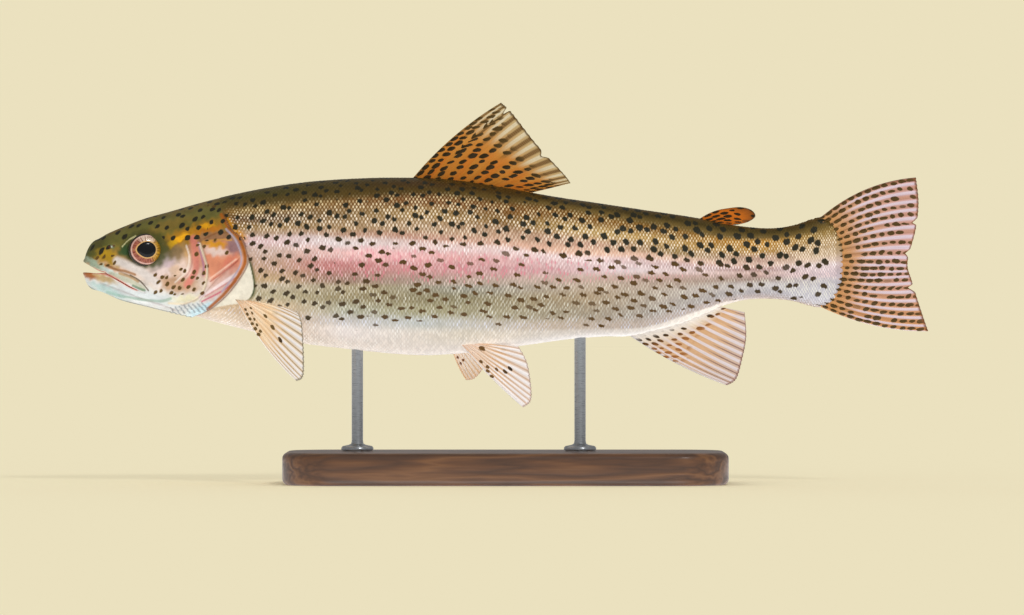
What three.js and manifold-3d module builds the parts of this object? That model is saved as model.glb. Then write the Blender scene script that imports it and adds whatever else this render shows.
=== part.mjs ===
// A life-size rainbow trout, swimming level, on a plain display stand: millimetres, +Z up.
// The head points to -X and the left side faces -Y. The origin is under the middle of the fish, on the floor.
// Places on the fish are in thousandths of its total length: station runs back from the lower jaw's tip,
// and height is measured up from the body's axis.
import * as THREE from "three";
import { mergeVertices } from "three/addons/utils/BufferGeometryUtils.js";
import Module from "manifold-3d";

// Driving dimensions.
const TOTAL_LENGTH = 420;
const AXIS_HEIGHT = 110; // the body's axis over the floor
const CUT_GAP = 0.3; // what parts two neighbouring pieces
const GIRTH_SEGMENTS = 28;
const LENGTH_SEGMENTS = 40;
const THOUSANDTH = TOTAL_LENGTH / 1000;

// The two ends of the body and how far back their rounding reaches.
const SNOUT = 1;
const NOSE_ROUNDING = 15;
const BODY_END = 901;
const END_ROUNDING = 35;

// Heights and half-widths of the body along its length, as [station, value].
const BACK = [
  [0, 22], [18, 27.5], [30, 34.2], [46, 41.2], [74, 52], [103, 60], [145, 72], [202, 85], [258, 94],
  [315, 98.6], [372, 100], [432, 98], [497, 88.5], [555, 78], [612, 69.5], [669, 61], [725, 52.5], [771, 43.5],
  [810, 40], [838, 43], [867, 52], [901, 60],
];
const BELLY = [
  [0, -36], [18, -34.6], [46, -46], [74, -53], [103, -59.8], [145, -68.6], [202, -82.5], [258, -96],
  [315, -103.2], [372, -109], [414, -110.3], [471, -106], [521, -99], [576, -91.5], [616, -88.4],
  [644, -88], [668, -83], [706, -73], [743, -58], [755, -52.5], [783, -45], [811, -43.6], [838, -46],
  [861, -52], [901, -60],
];
const HALF_WIDTH = [
  [0, 16], [18, 19.5], [46, 27.5], [74, 34.8], [103, 41], [145, 48.3], [200, 53], [258, 56.2],
  [315, 58], [372, 58.8], [432, 57.8], [497, 54.2], [555, 49], [612, 42.4], [669, 34.5], [725, 26.7],
  [771, 20.7], [810, 16.7], [838, 14], [867, 11], [901, 8],
];
const WIDEST_HEIGHT = [[0, -8], [74, -4], [145, 0], [315, 2], [497, 0], [644, -6], [771, -4], [901, -2.4]];
const ROUNDNESS = [[0, 2.2], [74, 2.5], [160, 2.35], [372, 2.15], [644, 2.1], [901, 2]];

// Where the body is parted, as [station, height] along each cut.
const GILL_EDGE = [
  [150, 100], [166, 62], [176, 40], [190, 27], [197, 4.7], [192, -12], [173, -38], [150, -57],
  [128, -66], [108, -80],
];
const CHEEK_EDGE = [[150, 43], [138, 30], [143, 2], [147, -27], [139, -45], [117, -52], [96, -90]];
const UPPER_LIP = [[-8, 1], [2, 0], [12, -5.5], [21, -10.6], [28, -12.5]];
const LOWER_LIP = [[-8, -12.5], [6, -12.4], [19, -13.6], [28, -13.2]];
const JAW_SEAM = [[46, -22], [73, -35.5], [93, -46], [106, -55], [111, -85]];
const TAIL_CUT = [[772, 70], [768, 20], [766, -20], [772, -70]];
const MAXILLA = [
  [31, -6.5], [47, -11.5], [61, -15.5], [73, -22], [80, -31], [73, -35], [59, -29.8], [45, -21.5], [31, -12.5],
];

const GILL_COVER_DEPTH = 2.6;
const MAXILLA_DEPTH = 0.9;

// The eye, an ellipsoid turned a little forward and up.
const EYE = { station: 75.4, height: 13.8, length: 8.8, tall: 7.9, depth: 2.7, sunk: 1.3, forward: 0.17, up: 0.1 };

// The stand.
const BASE_LENGTH = 220;
const BASE_WIDTH = 100;
const BASE_HEIGHT = 16;
const BASE_CORNER = 26;
const BASE_BEVEL = 3;
const ROD_RADIUS = 2.8;
const ROD_FOOT_RADIUS = 8;
const ROD_FOOT_HEIGHT = 3;
const ROD_STATIONS = { front: 325, rear: 588 };

// Fins. base and margin run from the leading ray to the last one, [station, height] each; bow is how far
// the leading and the last ray bulge outwards; root and edge are thicknesses in millimetres; lean is how far
// a paired fin stands out sideways for each millimetre that it hangs below its root.
const FINS = {
  dorsal_fin: {
    base: [[391, 99.5], [466, 93.5], [532, 82]],
    margin: [[495, 188.5], [508, 176], [536, 140], [569, 104], [577, 93]],
    bow: [5.8, 0], root: 2.4, edge: 0.8, rays: 8,
  },
  adipose_fin: {
    base: [[730, 51.5], [748, 47.5], [766, 43.5]],
    margin: [[756, 62.5], [776, 64.8], [790, 61.5], [795, 54], [787, 47.5], [774, 44]],
    bow: [1.5, 0], root: 2.6, edge: 1.2, rays: 5, smooth: true,
  },
  anal_fin: {
    base: [[648, -88], [702, -74.5], [755, -53]],
    margin: [[762, -146], [773, -138], [780, -114], [784.5, -88], [782.5, -59.5]],
    bow: [4.2, 0], root: 2.4, edge: 0.8, rays: 7,
  },
  caudal_fin: {
    base: [[874, 54], [893, 31], [899, 0], [893, -31], [872, -53]],
    margin: [[985, 100], [988, 70], [984.5, 38], [975, 0], [980, -22], [990, -54], [999.6, -82]],
    bow: [9.6, 7.5], root: 3.4, edge: 0.8, rays: 11,
  },
  pectoral_fin: {
    base: [[186.5, -50], [200.5, -45.5]],
    margin: [[256, -140.5], [264, -134], [264, -104], [261.5, -73], [257, -60.5]],
    bow: [5.1, 4], root: 2, edge: 0.8, rays: 7, lean: 0.38,
  },
  pelvic_fin_left: {
    base: [[450.5, -101], [464.5, -96]],
    margin: [[521, -171.5], [530, -164], [530.5, -146], [525.5, -118], [515.5, -99.5]],
    bow: [2, 1], root: 2, edge: 0.8, rays: 6, lean: 0.42,
  },
  pelvic_fin_right: {
    base: [[436, -101], [456, -97]],
    margin: [[453, -140.5], [462, -139], [471, -130], [477, -117], [477, -104]],
    bow: [2, 1], root: 2, edge: 0.8, rays: 6, lean: 1.1,
  },
};
const FIN_STEPS = 3; // along each ray
const FIN_ROOT_DEPTH = 9; // how deep a root is drawn before the body trims it, in thousandths
const WEB_SHARE = 0.62; // thickness of the web between two rays, as a share of the ray's
const LEAST_THICKNESS = 0.5;

const COLOURS = {
  back: 0x6d6a45, cheek: 0xb98f68, silver: 0xc9c6b4, blush: 0xd98f87, flank: 0xcf9fa4, orange: 0xb5651d,
  pale_fin: 0xdcb9a0, tail_fin: 0xb58f79, iris: 0xb06a2c, wood: 0x5b3a22, metal: 0x9a9a98,
};

const wasm = await Module();
wasm.setup();

// A smooth curve through [x, y] pairs in order of x, as a function of x.
function through(pairs) {
  const slope = (i) => {
    const before = pairs[Math.max(i - 1, 0)];
    const after = pairs[Math.min(i + 1, pairs.length - 1)];
    return (after[1] - before[1]) / (after[0] - before[0]);
  };
  return (x) => {
    let i = 0;
    while (i < pairs.length - 2 && x > pairs[i + 1][0]) i += 1;
    const [x0, y0] = pairs[i];
    const [x1, y1] = pairs[i + 1];
    const w = x1 - x0;
    const t = THREE.MathUtils.clamp((x - x0) / w, 0, 1);
    const ease = t * t * (3 - 2 * t);
    const rise = t * (1 - t) * w * (slope(i) * (1 - t) - slope(i + 1) * t);
    return y0 + (y1 - y0) * ease + rise;
  };
}

const back = through(BACK);
const belly = through(BELLY);
const halfWidth = through(HALF_WIDTH);
const widestHeight = through(WIDEST_HEIGHT);
const roundness = through(ROUNDNESS);

const placeX = (station) => station * THOUSANDTH - TOTAL_LENGTH / 2;
const placeZ = (height) => height * THOUSANDTH + AXIS_HEIGHT;

// How much of its full section the body has at a station: it closes to nothing at both ends.
function fullness(station, snout, end) {
  const nose = THREE.MathUtils.clamp((station - snout) / NOSE_ROUNDING, 0, 1);
  const tail = THREE.MathUtils.clamp((end - station) / END_ROUNDING, 0, 1);
  return Math.sqrt(1 - (1 - nose) ** 2) * Math.sqrt(1 - (1 - tail) ** 2);
}

// The body's skin as a closed geometry, grown by a distance in millimetres.
function bodyGeometry(grown = 0) {
  const extra = grown / THOUSANDTH;
  const geometry = new THREE.SphereGeometry(1, GIRTH_SEGMENTS, LENGTH_SEGMENTS);
  const places = geometry.getAttribute("position");
  for (let i = 0; i < places.count; i += 1) {
    const along = (1 - places.getY(i)) / 2;
    const station = SNOUT - extra + (BODY_END - SNOUT + 2 * extra) * along;
    const side = places.getX(i);
    const up = places.getZ(i);
    const radius = Math.hypot(side, up) || 1;
    const power = 2 / roundness(station);
    const out = Math.sign(side) * Math.abs(side / radius) ** power;
    const rise = Math.sign(up) * Math.abs(up / radius) ** power;
    const middle = widestHeight(station);
    const reach = rise > 0 ? back(station) + extra - middle : middle - belly(station) + extra;
    const full = fullness(station, SNOUT - extra, BODY_END + extra);
    places.setXYZ(
      i,
      placeX(station),
      out * (halfWidth(station) + extra) * full * THOUSANDTH,
      placeZ(middle + rise * reach * full),
    );
  }
  return geometry;
}

// A closed geometry as a solid that can be cut and joined.
function solidOf(geometry) {
  const bare = geometry.clone();
  bare.deleteAttribute("normal");
  bare.deleteAttribute("uv");
  const merged = mergeVertices(bare, 1e-4);
  return new wasm.Manifold(
    new wasm.Mesh({
      numProp: 3,
      vertProperties: merged.getAttribute("position").array,
      triVerts: new Uint32Array(merged.index.array),
    }),
  );
}

// A solid as a named mesh.
function meshOf(name, solid, colour) {
  const { vertProperties, triVerts } = solid.getMesh();
  const geometry = new THREE.BufferGeometry();
  geometry.setAttribute("position", new THREE.BufferAttribute(vertProperties, 3));
  geometry.setIndex(new THREE.BufferAttribute(triVerts, 1));
  geometry.computeVertexNormals();
  const metal = colour === COLOURS.metal;
  const material = new THREE.MeshStandardMaterial({ color: colour, roughness: 0.4, metalness: metal ? 1 : 0 });
  const mesh = new THREE.Mesh(geometry, material);
  mesh.name = name;
  return mesh;
}

// A side-view outline of [station, height] points, drawn through the whole width of the fish.
function prism(points) {
  const halfSpan = BASE_WIDTH;
  const shape = new THREE.Shape(points.map(([s, h]) => new THREE.Vector2(placeX(s), placeZ(h))));
  const geometry = new THREE.ExtrudeGeometry(shape, { depth: 2 * halfSpan, bevelEnabled: false });
  geometry.rotateX(Math.PI / 2);
  geometry.translate(0, halfSpan, 0);
  return solidOf(geometry);
}

// A few points joined by a smooth curve and sampled evenly.
function smoothed(points, pieces) {
  const curve = new THREE.SplineCurve(points.map(([s, h]) => new THREE.Vector2(s, h)));
  return curve.getPoints(pieces).map((p) => [p.x, p.y]);
}

// A thin wall along a side-view curve, one gap thick.
function wall(points) {
  const gap = CUT_GAP / THOUSANDTH;
  return prism([...points, ...points.map(([s, h]) => [s + gap, h]).reverse()]);
}

// Everything behind a side-view curve that runs from top to bottom.
function behind(points) {
  const far = 400;
  const last = points[points.length - 1];
  return prism([...points, [far, last[1]], [far, points[0][1]]]);
}

const body = solidOf(bodyGeometry());
const clearBody = solidOf(bodyGeometry(CUT_GAP));

// The body in four: lower jaw, head, trunk and tail stalk, in order from the front.
function partedBody() {
  const gap = CUT_GAP / THOUSANDTH;
  const lips = [
    ...UPPER_LIP,
    ...JAW_SEAM,
    ...JAW_SEAM.map(([s, h]) => [s - gap / 2, h - gap]).reverse(),
    ...LOWER_LIP.slice().reverse(),
  ];
  const cut = body
    .subtract(wall(smoothed(GILL_EDGE, 18)))
    .subtract(prism(lips))
    .subtract(wall(smoothed(TAIL_CUT, 8)));
  const middle = (solid) => {
    const box = solid.boundingBox();
    return box.min[0] + box.max[0];
  };
  return cut.decompose().sort((a, b) => middle(a) - middle(b));
}

// The half of a solid on one side of the fish: -1 for its left, 1 for its right.
function oneSide(solid, side) {
  return solid.splitByPlane([0, side, 0], CUT_GAP / 2)[0];
}

function eyeSolid(side, grown = 0) {
  const geometry = new THREE.SphereGeometry(1, 16, 10);
  geometry.scale(EYE.length + grown, EYE.tall + grown, EYE.depth + grown);
  geometry.rotateX(Math.PI / 2);
  geometry.rotateX(side * EYE.up);
  geometry.rotateZ(-side * EYE.forward);
  const surface = halfWidth(EYE.station) * THOUSANDTH;
  geometry.translate(placeX(EYE.station), side * (surface - EYE.sunk), placeZ(EYE.height));
  return solidOf(geometry);
}

// A fin as a closed plate with a ridge for each ray, trimmed where it meets the body.
function finSolid(spec, side = 0) {
  const baseCurve = new THREE.SplineCurve(spec.base.map(([s, h]) => new THREE.Vector2(s, h)));
  const marginCurve = new THREE.SplineCurve(spec.margin.map(([s, h]) => new THREE.Vector2(s, h)));
  const across = spec.smooth ? spec.rays : 2 * spec.rays;
  const geometry = new THREE.BoxGeometry(1, 1, 1, across, FIN_STEPS + 1, 1);
  const places = geometry.getAttribute("position");
  const lean = spec.lean ?? 0;
  const middle = (spec.base[0][0] + spec.base[spec.base.length - 1][0]) / 2;
  const rootHeight = (spec.base[0][1] + spec.base[spec.base.length - 1][1]) / 2;
  const rootY = side * halfWidth(middle) * THOUSANDTH * rootShare(middle, rootHeight);
  for (let i = 0; i < places.count; i += 1) {
    const v = places.getX(i) + 0.5;
    const step = Math.round((places.getY(i) + 0.5) * (FIN_STEPS + 1)) - 1;
    const u = Math.max(step, 0) / FIN_STEPS;
    const root = baseCurve.getPoint(v);
    const tip = marginCurve.getPoint(v);
    const ray = tip.clone().sub(root);
    const outward = new THREE.Vector2(-ray.y, ray.x).normalize();
    const turn = Math.sign(outward.dot(marginCurve.getPoint(0).sub(marginCurve.getPoint(1)))) || 1;
    const bow = (spec.bow[0] * (1 - v) ** 2 - spec.bow[1] * v ** 2) * 4 * u * (1 - u) * turn;
    const at = root.clone().addScaledVector(ray, u).addScaledVector(outward, bow);
    if (step < 0) at.addScaledVector(ray.clone().normalize(), -FIN_ROOT_DEPTH);
    const ridge = spec.smooth || Math.round(v * across) % 2 === 0 ? 1 : WEB_SHARE;
    const thick = Math.max(THREE.MathUtils.lerp(spec.root, spec.edge, u) * ridge, LEAST_THICKNESS);
    const hang = (rootHeight - at.y) * THOUSANDTH;
    places.setXYZ(i, placeX(at.x), rootY + side * lean * hang - places.getZ(i) * thick, placeZ(at.y));
  }
  const plate = solidOf(geometry);
  const outside = (plate.volume() < 0 ? solidOf(turned(geometry)) : plate).subtract(clearBody);
  return outside.decompose().sort((a, b) => b.volume() - a.volume())[0];
}

// The same geometry with its faces the other way round.
function turned(geometry) {
  const copy = geometry.clone();
  const order = Array.from(copy.index.array);
  for (let i = 0; i < order.length; i += 3) [order[i + 1], order[i + 2]] = [order[i + 2], order[i + 1]];
  copy.setIndex(order);
  return copy;
}

// How far out the body's side is at a height, as a share of its half-width.
function rootShare(station, height) {
  const middle = widestHeight(station);
  const reach = height > middle ? back(station) - middle : middle - belly(station);
  const share = Math.min(Math.abs(height - middle) / reach, 1);
  const power = roundness(station);
  return (1 - share ** power) ** (1 / power);
}

function baseSolid() {
  const x = BASE_LENGTH / 2 - BASE_BEVEL;
  const y = BASE_WIDTH / 2 - BASE_BEVEL;
  const r = BASE_CORNER;
  const shape = new THREE.Shape();
  shape.moveTo(-x + r, -y);
  shape.lineTo(x - r, -y);
  shape.absarc(x - r, -y + r, r, -Math.PI / 2, 0);
  shape.absarc(x - r, y - r, r, 0, Math.PI / 2);
  shape.absarc(-x + r, y - r, r, Math.PI / 2, Math.PI);
  shape.absarc(-x + r, -y + r, r, Math.PI, 1.5 * Math.PI);
  const geometry = new THREE.ExtrudeGeometry(shape, {
    depth: BASE_HEIGHT - 2 * BASE_BEVEL,
    bevelThickness: BASE_BEVEL,
    bevelSize: BASE_BEVEL,
    bevelSegments: 2,
    curveSegments: 5,
  });
  geometry.translate(0, 0, BASE_BEVEL);
  return solidOf(geometry);
}

// A rod with a round foot, from the base up into the belly, trimmed by the body.
function rodSolid(station) {
  const foot = BASE_HEIGHT + CUT_GAP;
  const top = placeZ(belly(station)) + 10;
  const profile = [
    [0, foot], [ROD_FOOT_RADIUS, foot], [ROD_FOOT_RADIUS, foot + ROD_FOOT_HEIGHT * 0.6],
    [ROD_FOOT_RADIUS - 1.5, foot + ROD_FOOT_HEIGHT], [ROD_RADIUS, foot + ROD_FOOT_HEIGHT],
    [ROD_RADIUS, top], [0, top],
  ];
  const geometry = new THREE.LatheGeometry(profile.map(([r, z]) => new THREE.Vector2(r, z)), 16);
  geometry.rotateX(Math.PI / 2);
  geometry.translate(placeX(station), 0, 0);
  return solidOf(geometry).subtract(clearBody);
}

const [lowerJaw, headBlock, trunk, tailStalk] = partedBody();
const cheekCut = smoothed(CHEEK_EDGE, 14);
const gap = CUT_GAP / THOUSANDTH;
const gillShell = headBlock
  .intersect(behind(cheekCut.map(([s, h]) => [s + gap, h])))
  .subtract(solidOf(bodyGeometry(-GILL_COVER_DEPTH)));
const gillPocket = behind(cheekCut).subtract(solidOf(bodyGeometry(-GILL_COVER_DEPTH - CUT_GAP)));
const eyes = { left: eyeSolid(-1), right: eyeSolid(1) };
const head = headBlock.subtract(gillPocket).subtract(eyeSolid(-1, CUT_GAP)).subtract(eyeSolid(1, CUT_GAP));
const lipShell = solidOf(bodyGeometry(CUT_GAP + MAXILLA_DEPTH))
  .subtract(clearBody)
  .intersect(prism(smoothed([...MAXILLA, MAXILLA[0]], 16).slice(0, -1)));
const largest = (solid) => solid.decompose().sort((a, b) => b.volume() - a.volume())[0];

const trout = new THREE.Group();
const add = (name, solid, colour) => trout.add(meshOf(name, solid, colour));

add("head", largest(head), COLOURS.cheek);
add("lower_jaw", lowerJaw, COLOURS.silver);
add("trunk", trunk, COLOURS.flank);
add("tail_stalk", tailStalk, COLOURS.back);
for (const [word, side] of [["left", -1], ["right", 1]]) {
  add("maxilla_" + word, largest(oneSide(lipShell, side)), COLOURS.silver);
  add("gill_cover_" + word, largest(oneSide(gillShell, side)), COLOURS.blush);
  add("eye_" + word, eyes[word], COLOURS.iris);
}
add("dorsal_fin", finSolid(FINS.dorsal_fin), COLOURS.orange);
add("adipose_fin", finSolid(FINS.adipose_fin), COLOURS.orange);
add("anal_fin", finSolid(FINS.anal_fin), COLOURS.pale_fin);
add("caudal_fin", finSolid(FINS.caudal_fin), COLOURS.tail_fin);
add("pectoral_fin_left", finSolid(FINS.pectoral_fin, -1), COLOURS.pale_fin);
add("pectoral_fin_right", finSolid(FINS.pectoral_fin, 1), COLOURS.pale_fin);
add("pelvic_fin_left", finSolid(FINS.pelvic_fin_left, -1), COLOURS.pale_fin);
add("pelvic_fin_right", finSolid(FINS.pelvic_fin_right, 1), COLOURS.pale_fin);
add("stand_base", baseSolid(), COLOURS.wood);
for (const [word, station] of Object.entries(ROD_STATIONS)) {
  add("stand_rod_" + word, rodSolid(station), COLOURS.metal);
}

export default trout;
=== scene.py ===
"""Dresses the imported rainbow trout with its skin, scales, fins, eyes and display stand.

Places on the fish are in thousandths of its total length, as in the part's own source: a station runs back from
the lower jaw's tip, and a height is measured up from the body's axis. A tilt is the turn round the body's
section, from -90 degrees at the belly to 90 degrees at the back. Everything else is in metres.
"""

import logging
import math
from dataclasses import dataclass, field
from enum import Enum
from typing import Callable

import bmesh
import bpy
import numpy as np
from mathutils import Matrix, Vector


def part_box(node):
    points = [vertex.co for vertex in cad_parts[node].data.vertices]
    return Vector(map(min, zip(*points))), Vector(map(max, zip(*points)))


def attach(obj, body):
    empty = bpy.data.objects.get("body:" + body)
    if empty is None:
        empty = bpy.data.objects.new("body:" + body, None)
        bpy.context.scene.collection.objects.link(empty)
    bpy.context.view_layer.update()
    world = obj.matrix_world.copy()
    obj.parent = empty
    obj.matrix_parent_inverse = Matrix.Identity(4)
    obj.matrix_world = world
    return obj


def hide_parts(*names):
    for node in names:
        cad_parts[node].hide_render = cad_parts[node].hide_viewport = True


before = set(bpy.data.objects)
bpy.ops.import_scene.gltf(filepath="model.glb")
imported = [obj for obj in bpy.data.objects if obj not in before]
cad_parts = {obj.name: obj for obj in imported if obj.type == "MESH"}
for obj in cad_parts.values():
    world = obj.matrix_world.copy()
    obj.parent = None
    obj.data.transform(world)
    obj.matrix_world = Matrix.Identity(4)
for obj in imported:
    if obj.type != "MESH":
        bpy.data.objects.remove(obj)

LOG = logging.getLogger("trout")
MM = 0.001
BODY = "root"
SEED = 7
BAKE_MAP = "OFBake"

Pairs = tuple[tuple[float, float], ...]


class Side(Enum):
    """The fish's own left and right, as the sign of Y."""

    LEFT = -1
    RIGHT = 1


# ---------------------------------------------------------------------------------------------------------
# Small helpers


def smooth(value: np.ndarray, low: float, high: float) -> np.ndarray:
    """Eases a value from 0 at low to 1 at high.

    Args:
        value: Any numbers.
        low: Where the result is 0.
        high: Where the result is 1. It may be smaller than low.

    Returns:
        Numbers from 0 to 1.
    """
    t = np.clip((np.asarray(value, float) - low) / (high - low), 0.0, 1.0)
    return t * t * (3.0 - 2.0 * t)


def hump(value: np.ndarray, middle: float, width: float) -> np.ndarray:
    """Gives a bell curve that is 1 at the middle and fades over the width."""
    return np.exp(-(((np.asarray(value, float) - middle) / width) ** 2))


def mixed(start: np.ndarray, end: np.ndarray, share: np.ndarray) -> np.ndarray:
    """Blends two values or colours.

    Args:
        start: What a share of 0 gives.
        end: What a share of 1 gives.
        share: Shares from 0 to 1, one for each row of a colour list.

    Returns:
        The blend.
    """
    share = np.asarray(share, float)
    if np.ndim(end) and np.shape(end)[-1] == 3 and share.ndim and np.shape(share)[-1:] != (3,):
        share = share[..., None]
    return start + (end - start) * share


def colour(code: str) -> np.ndarray:
    """Turns a screen colour such as "c8a070" into linear red, green and blue."""
    screen = np.array([int(code[i : i + 2], 16) for i in (0, 2, 4)]) / 255.0
    return np.where(screen <= 0.04045, screen / 12.92, ((screen + 0.055) / 1.055) ** 2.4)


@dataclass(frozen=True)
class Track:
    """A smooth curve through (x, y) pairs in order of x."""

    pairs: Pairs

    def __call__(self, x: np.ndarray) -> np.ndarray:
        """Gives the curve's y at each x, held level past its ends."""
        xs, ys = np.array(self.pairs, float).T
        slopes = np.gradient(ys)
        slopes[1:-1] = (ys[2:] - ys[:-2]) / (xs[2:] - xs[:-2])
        slopes[0] = (ys[1] - ys[0]) / (xs[1] - xs[0])
        slopes[-1] = (ys[-1] - ys[-2]) / (xs[-1] - xs[-2])
        i = np.clip(np.searchsorted(xs, x, side="left") - 1, 0, len(xs) - 2)
        span = xs[i + 1] - xs[i]
        t = np.clip((x - xs[i]) / span, 0.0, 1.0)
        rise = t * (1.0 - t) * span * (slopes[i] * (1.0 - t) - slopes[i + 1] * t)
        return ys[i] + (ys[i + 1] - ys[i]) * t * t * (3.0 - 2.0 * t) + rise


@dataclass(frozen=True)
class Spline:
    """A smooth curve through points, run from 0 at the first to 1 at the last."""

    points: Pairs

    def __call__(self, share: np.ndarray) -> np.ndarray:
        """Gives the points at each share of the way, in a last axis of 2."""
        p = np.array(self.points, float)
        last = len(p) - 1
        at = np.clip(np.asarray(share, float), 0.0, 1.0) * last
        i = np.minimum(at.astype(int), last - 1)
        t = (at - i)[..., None]
        p0, p1 = p[np.maximum(i - 1, 0)], p[i]
        p2, p3 = p[i + 1], p[np.minimum(i + 2, last)]
        v0, v1 = (p2 - p0) / 2, (p3 - p1) / 2
        return (2 * p1 - 2 * p2 + v0 + v1) * t**3 + (-3 * p1 + 3 * p2 - 2 * v0 - v1) * t**2 + v0 * t + p1


@dataclass(frozen=True)
class Seam:
    """A line drawn on the side of the fish, through (station, height) points."""

    points: Pairs

    def away(self, station: np.ndarray, height: np.ndarray) -> np.ndarray:
        """Gives the distance from the line.

        Args:
            station: Stations of the places asked about.
            height: Their heights.

        Returns:
            Distances in thousandths, positive on the left of the line's own direction.
        """
        line = Spline(self.points)(np.linspace(0.0, 1.0, 8 * len(self.points)))
        start, run = line[:-1], np.diff(line, axis=0)
        off = np.stack([station, height], -1)[..., None, :] - start
        t = np.clip((off * run).sum(-1) / (run * run).sum(-1), 0.0, 1.0)
        gap = np.linalg.norm(off - t[..., None] * run, axis=-1)
        k = gap.argmin(-1)
        near = np.take_along_axis(off, k[..., None, None], -2)[..., 0, :]
        turn = run[k, 0] * near[..., 1] - run[k, 1] * near[..., 0]
        return np.where(turn > 0, 1.0, -1.0) * gap.min(-1)


# ---------------------------------------------------------------------------------------------------------
# The fish's form


@dataclass(frozen=True)
class Placement:
    """Where the fish lies in the frame."""

    unit: float
    nose_x: float
    axis_z: float

    @staticmethod
    def read() -> "Placement":
        """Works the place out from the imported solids' own boxes."""
        jaw_tip, tail_tip, back_top = 1.62, 999.6, 99.95
        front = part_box("lower_jaw")[0].x
        unit = (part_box("caudal_fin")[1].x - front) / (tail_tip - jaw_tip)
        return Placement(unit, front - jaw_tip * unit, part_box("trunk")[1].z - back_top * unit)

    def x(self, station: np.ndarray) -> np.ndarray:
        """Gives X at a station."""
        return self.nose_x + np.asarray(station, float) * self.unit

    def z(self, height: np.ndarray) -> np.ndarray:
        """Gives Z at a height."""
        return self.axis_z + np.asarray(height, float) * self.unit


BACK = Track((
    (0, 22), (18, 27.5), (30, 34.2), (46, 41.2), (74, 52), (103, 60), (145, 72), (202, 85), (258, 94),
    (315, 98.6), (372, 100), (432, 98), (497, 88.5), (555, 78), (612, 69.5), (669, 61), (725, 52.5), (771, 43.5),
    (810, 40), (838, 43), (867, 52), (901, 60),
))
BELLY = Track((
    (0, -36), (18, -34.6), (46, -46), (74, -53), (103, -59.8), (145, -68.6), (202, -82.5), (258, -96),
    (315, -103.2), (372, -109), (414, -110.3), (471, -106), (521, -99), (576, -91.5), (616, -88.4),
    (644, -88), (668, -83), (706, -73), (743, -58), (755, -52.5), (783, -45), (811, -43.6), (838, -46),
    (861, -52), (901, -60),
))
HALF_WIDTH = Track((
    (0, 16), (18, 19.5), (46, 27.5), (74, 34.8), (103, 41), (145, 48.3), (200, 53), (258, 56.2),
    (315, 58), (372, 58.8), (432, 57.8), (497, 54.2), (555, 49), (612, 42.4), (669, 34.5), (725, 26.7),
    (771, 20.7), (810, 16.7), (838, 14), (867, 11), (901, 8),
))
WIDEST_HEIGHT = Track(((0, -8), (74, -4), (145, 0), (315, 2), (497, 0), (644, -6), (771, -4), (901, -2.4)))
ROUNDNESS = Track(((0, 2.2), (74, 2.5), (160, 2.35), (372, 2.15), (644, 2.1), (901, 2)))


@dataclass(frozen=True)
class BodyForm:
    """The body under its coat, as a point for each station and tilt."""

    place: Placement
    inset: float = 0.8
    snout: float = 1.0
    end: float = 901.0
    nose_rounding: float = 15.0
    end_rounding: float = 35.0

    @property
    def first(self) -> float:
        """The station of the skin's foremost point."""
        return self.snout + self.inset

    @property
    def last(self) -> float:
        """The station of the skin's hindmost point."""
        return self.end - self.inset

    def fullness(self, station: np.ndarray) -> np.ndarray:
        """Gives the share of its full section that the body has at a station."""
        nose = np.clip((station - self.first) / self.nose_rounding, 0.0, 1.0)
        tail = np.clip((self.last - station) / self.end_rounding, 0.0, 1.0)
        return np.sqrt(1 - (1 - nose) ** 2) * np.sqrt(1 - (1 - tail) ** 2)

    def reach(self, station: np.ndarray, upper: np.ndarray) -> np.ndarray:
        """Gives how far the section runs up, or down, from its widest height."""
        middle = WIDEST_HEIGHT(station)
        span = np.where(upper, BACK(station) - middle, middle - BELLY(station)) - self.inset
        return span * self.fullness(station)

    def height(self, station: np.ndarray, tilt: np.ndarray) -> np.ndarray:
        """Gives the height of a place on the skin."""
        rise = np.sign(tilt) * np.abs(np.sin(tilt)) ** (2 / ROUNDNESS(station))
        return WIDEST_HEIGHT(station) + rise * self.reach(station, rise > 0)

    def tilt_at(self, station: np.ndarray, height: np.ndarray) -> np.ndarray:
        """Gives the tilt at which the section has a height."""
        gap = height - WIDEST_HEIGHT(station)
        rise = np.clip(gap / np.maximum(self.reach(station, gap > 0), 1e-6), -1.0, 1.0)
        return np.sign(rise) * np.arcsin(np.abs(rise) ** (ROUNDNESS(station) / 2))

    def point(self, station: np.ndarray, tilt: np.ndarray, side: np.ndarray) -> np.ndarray:
        """Gives places on the skin.

        Args:
            station: Stations.
            tilt: Tilts, in radians.
            side: -1 on the fish's left and 1 on its right.

        Returns:
            Points in metres, in a last axis of 3.
        """
        station, tilt, side = np.broadcast_arrays(*[np.asarray(v, float) for v in (station, tilt, side)])
        out = np.abs(np.cos(tilt)) ** (2 / ROUNDNESS(station))
        width = (HALF_WIDTH(station) - self.inset) * self.fullness(station) * self.place.unit
        return np.stack([self.place.x(station), side * out * width, self.place.z(self.height(station, tilt))], -1)

    def normal(self, station: np.ndarray, tilt: np.ndarray, side: np.ndarray) -> tuple[np.ndarray, np.ndarray]:
        """Gives the unit directions towards the tail along the skin, and out of it."""
        step = 0.002
        along = self.point(station + 1.0, tilt, side) - self.point(station - 1.0, tilt, side)
        up = self.point(station, tilt + step, side) - self.point(station, tilt - step, side)
        out = np.cross(along, up) * -np.asarray(side, float)[..., None]
        along /= np.linalg.norm(along, axis=-1, keepdims=True)
        return along, out / np.linalg.norm(out, axis=-1, keepdims=True)


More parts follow.
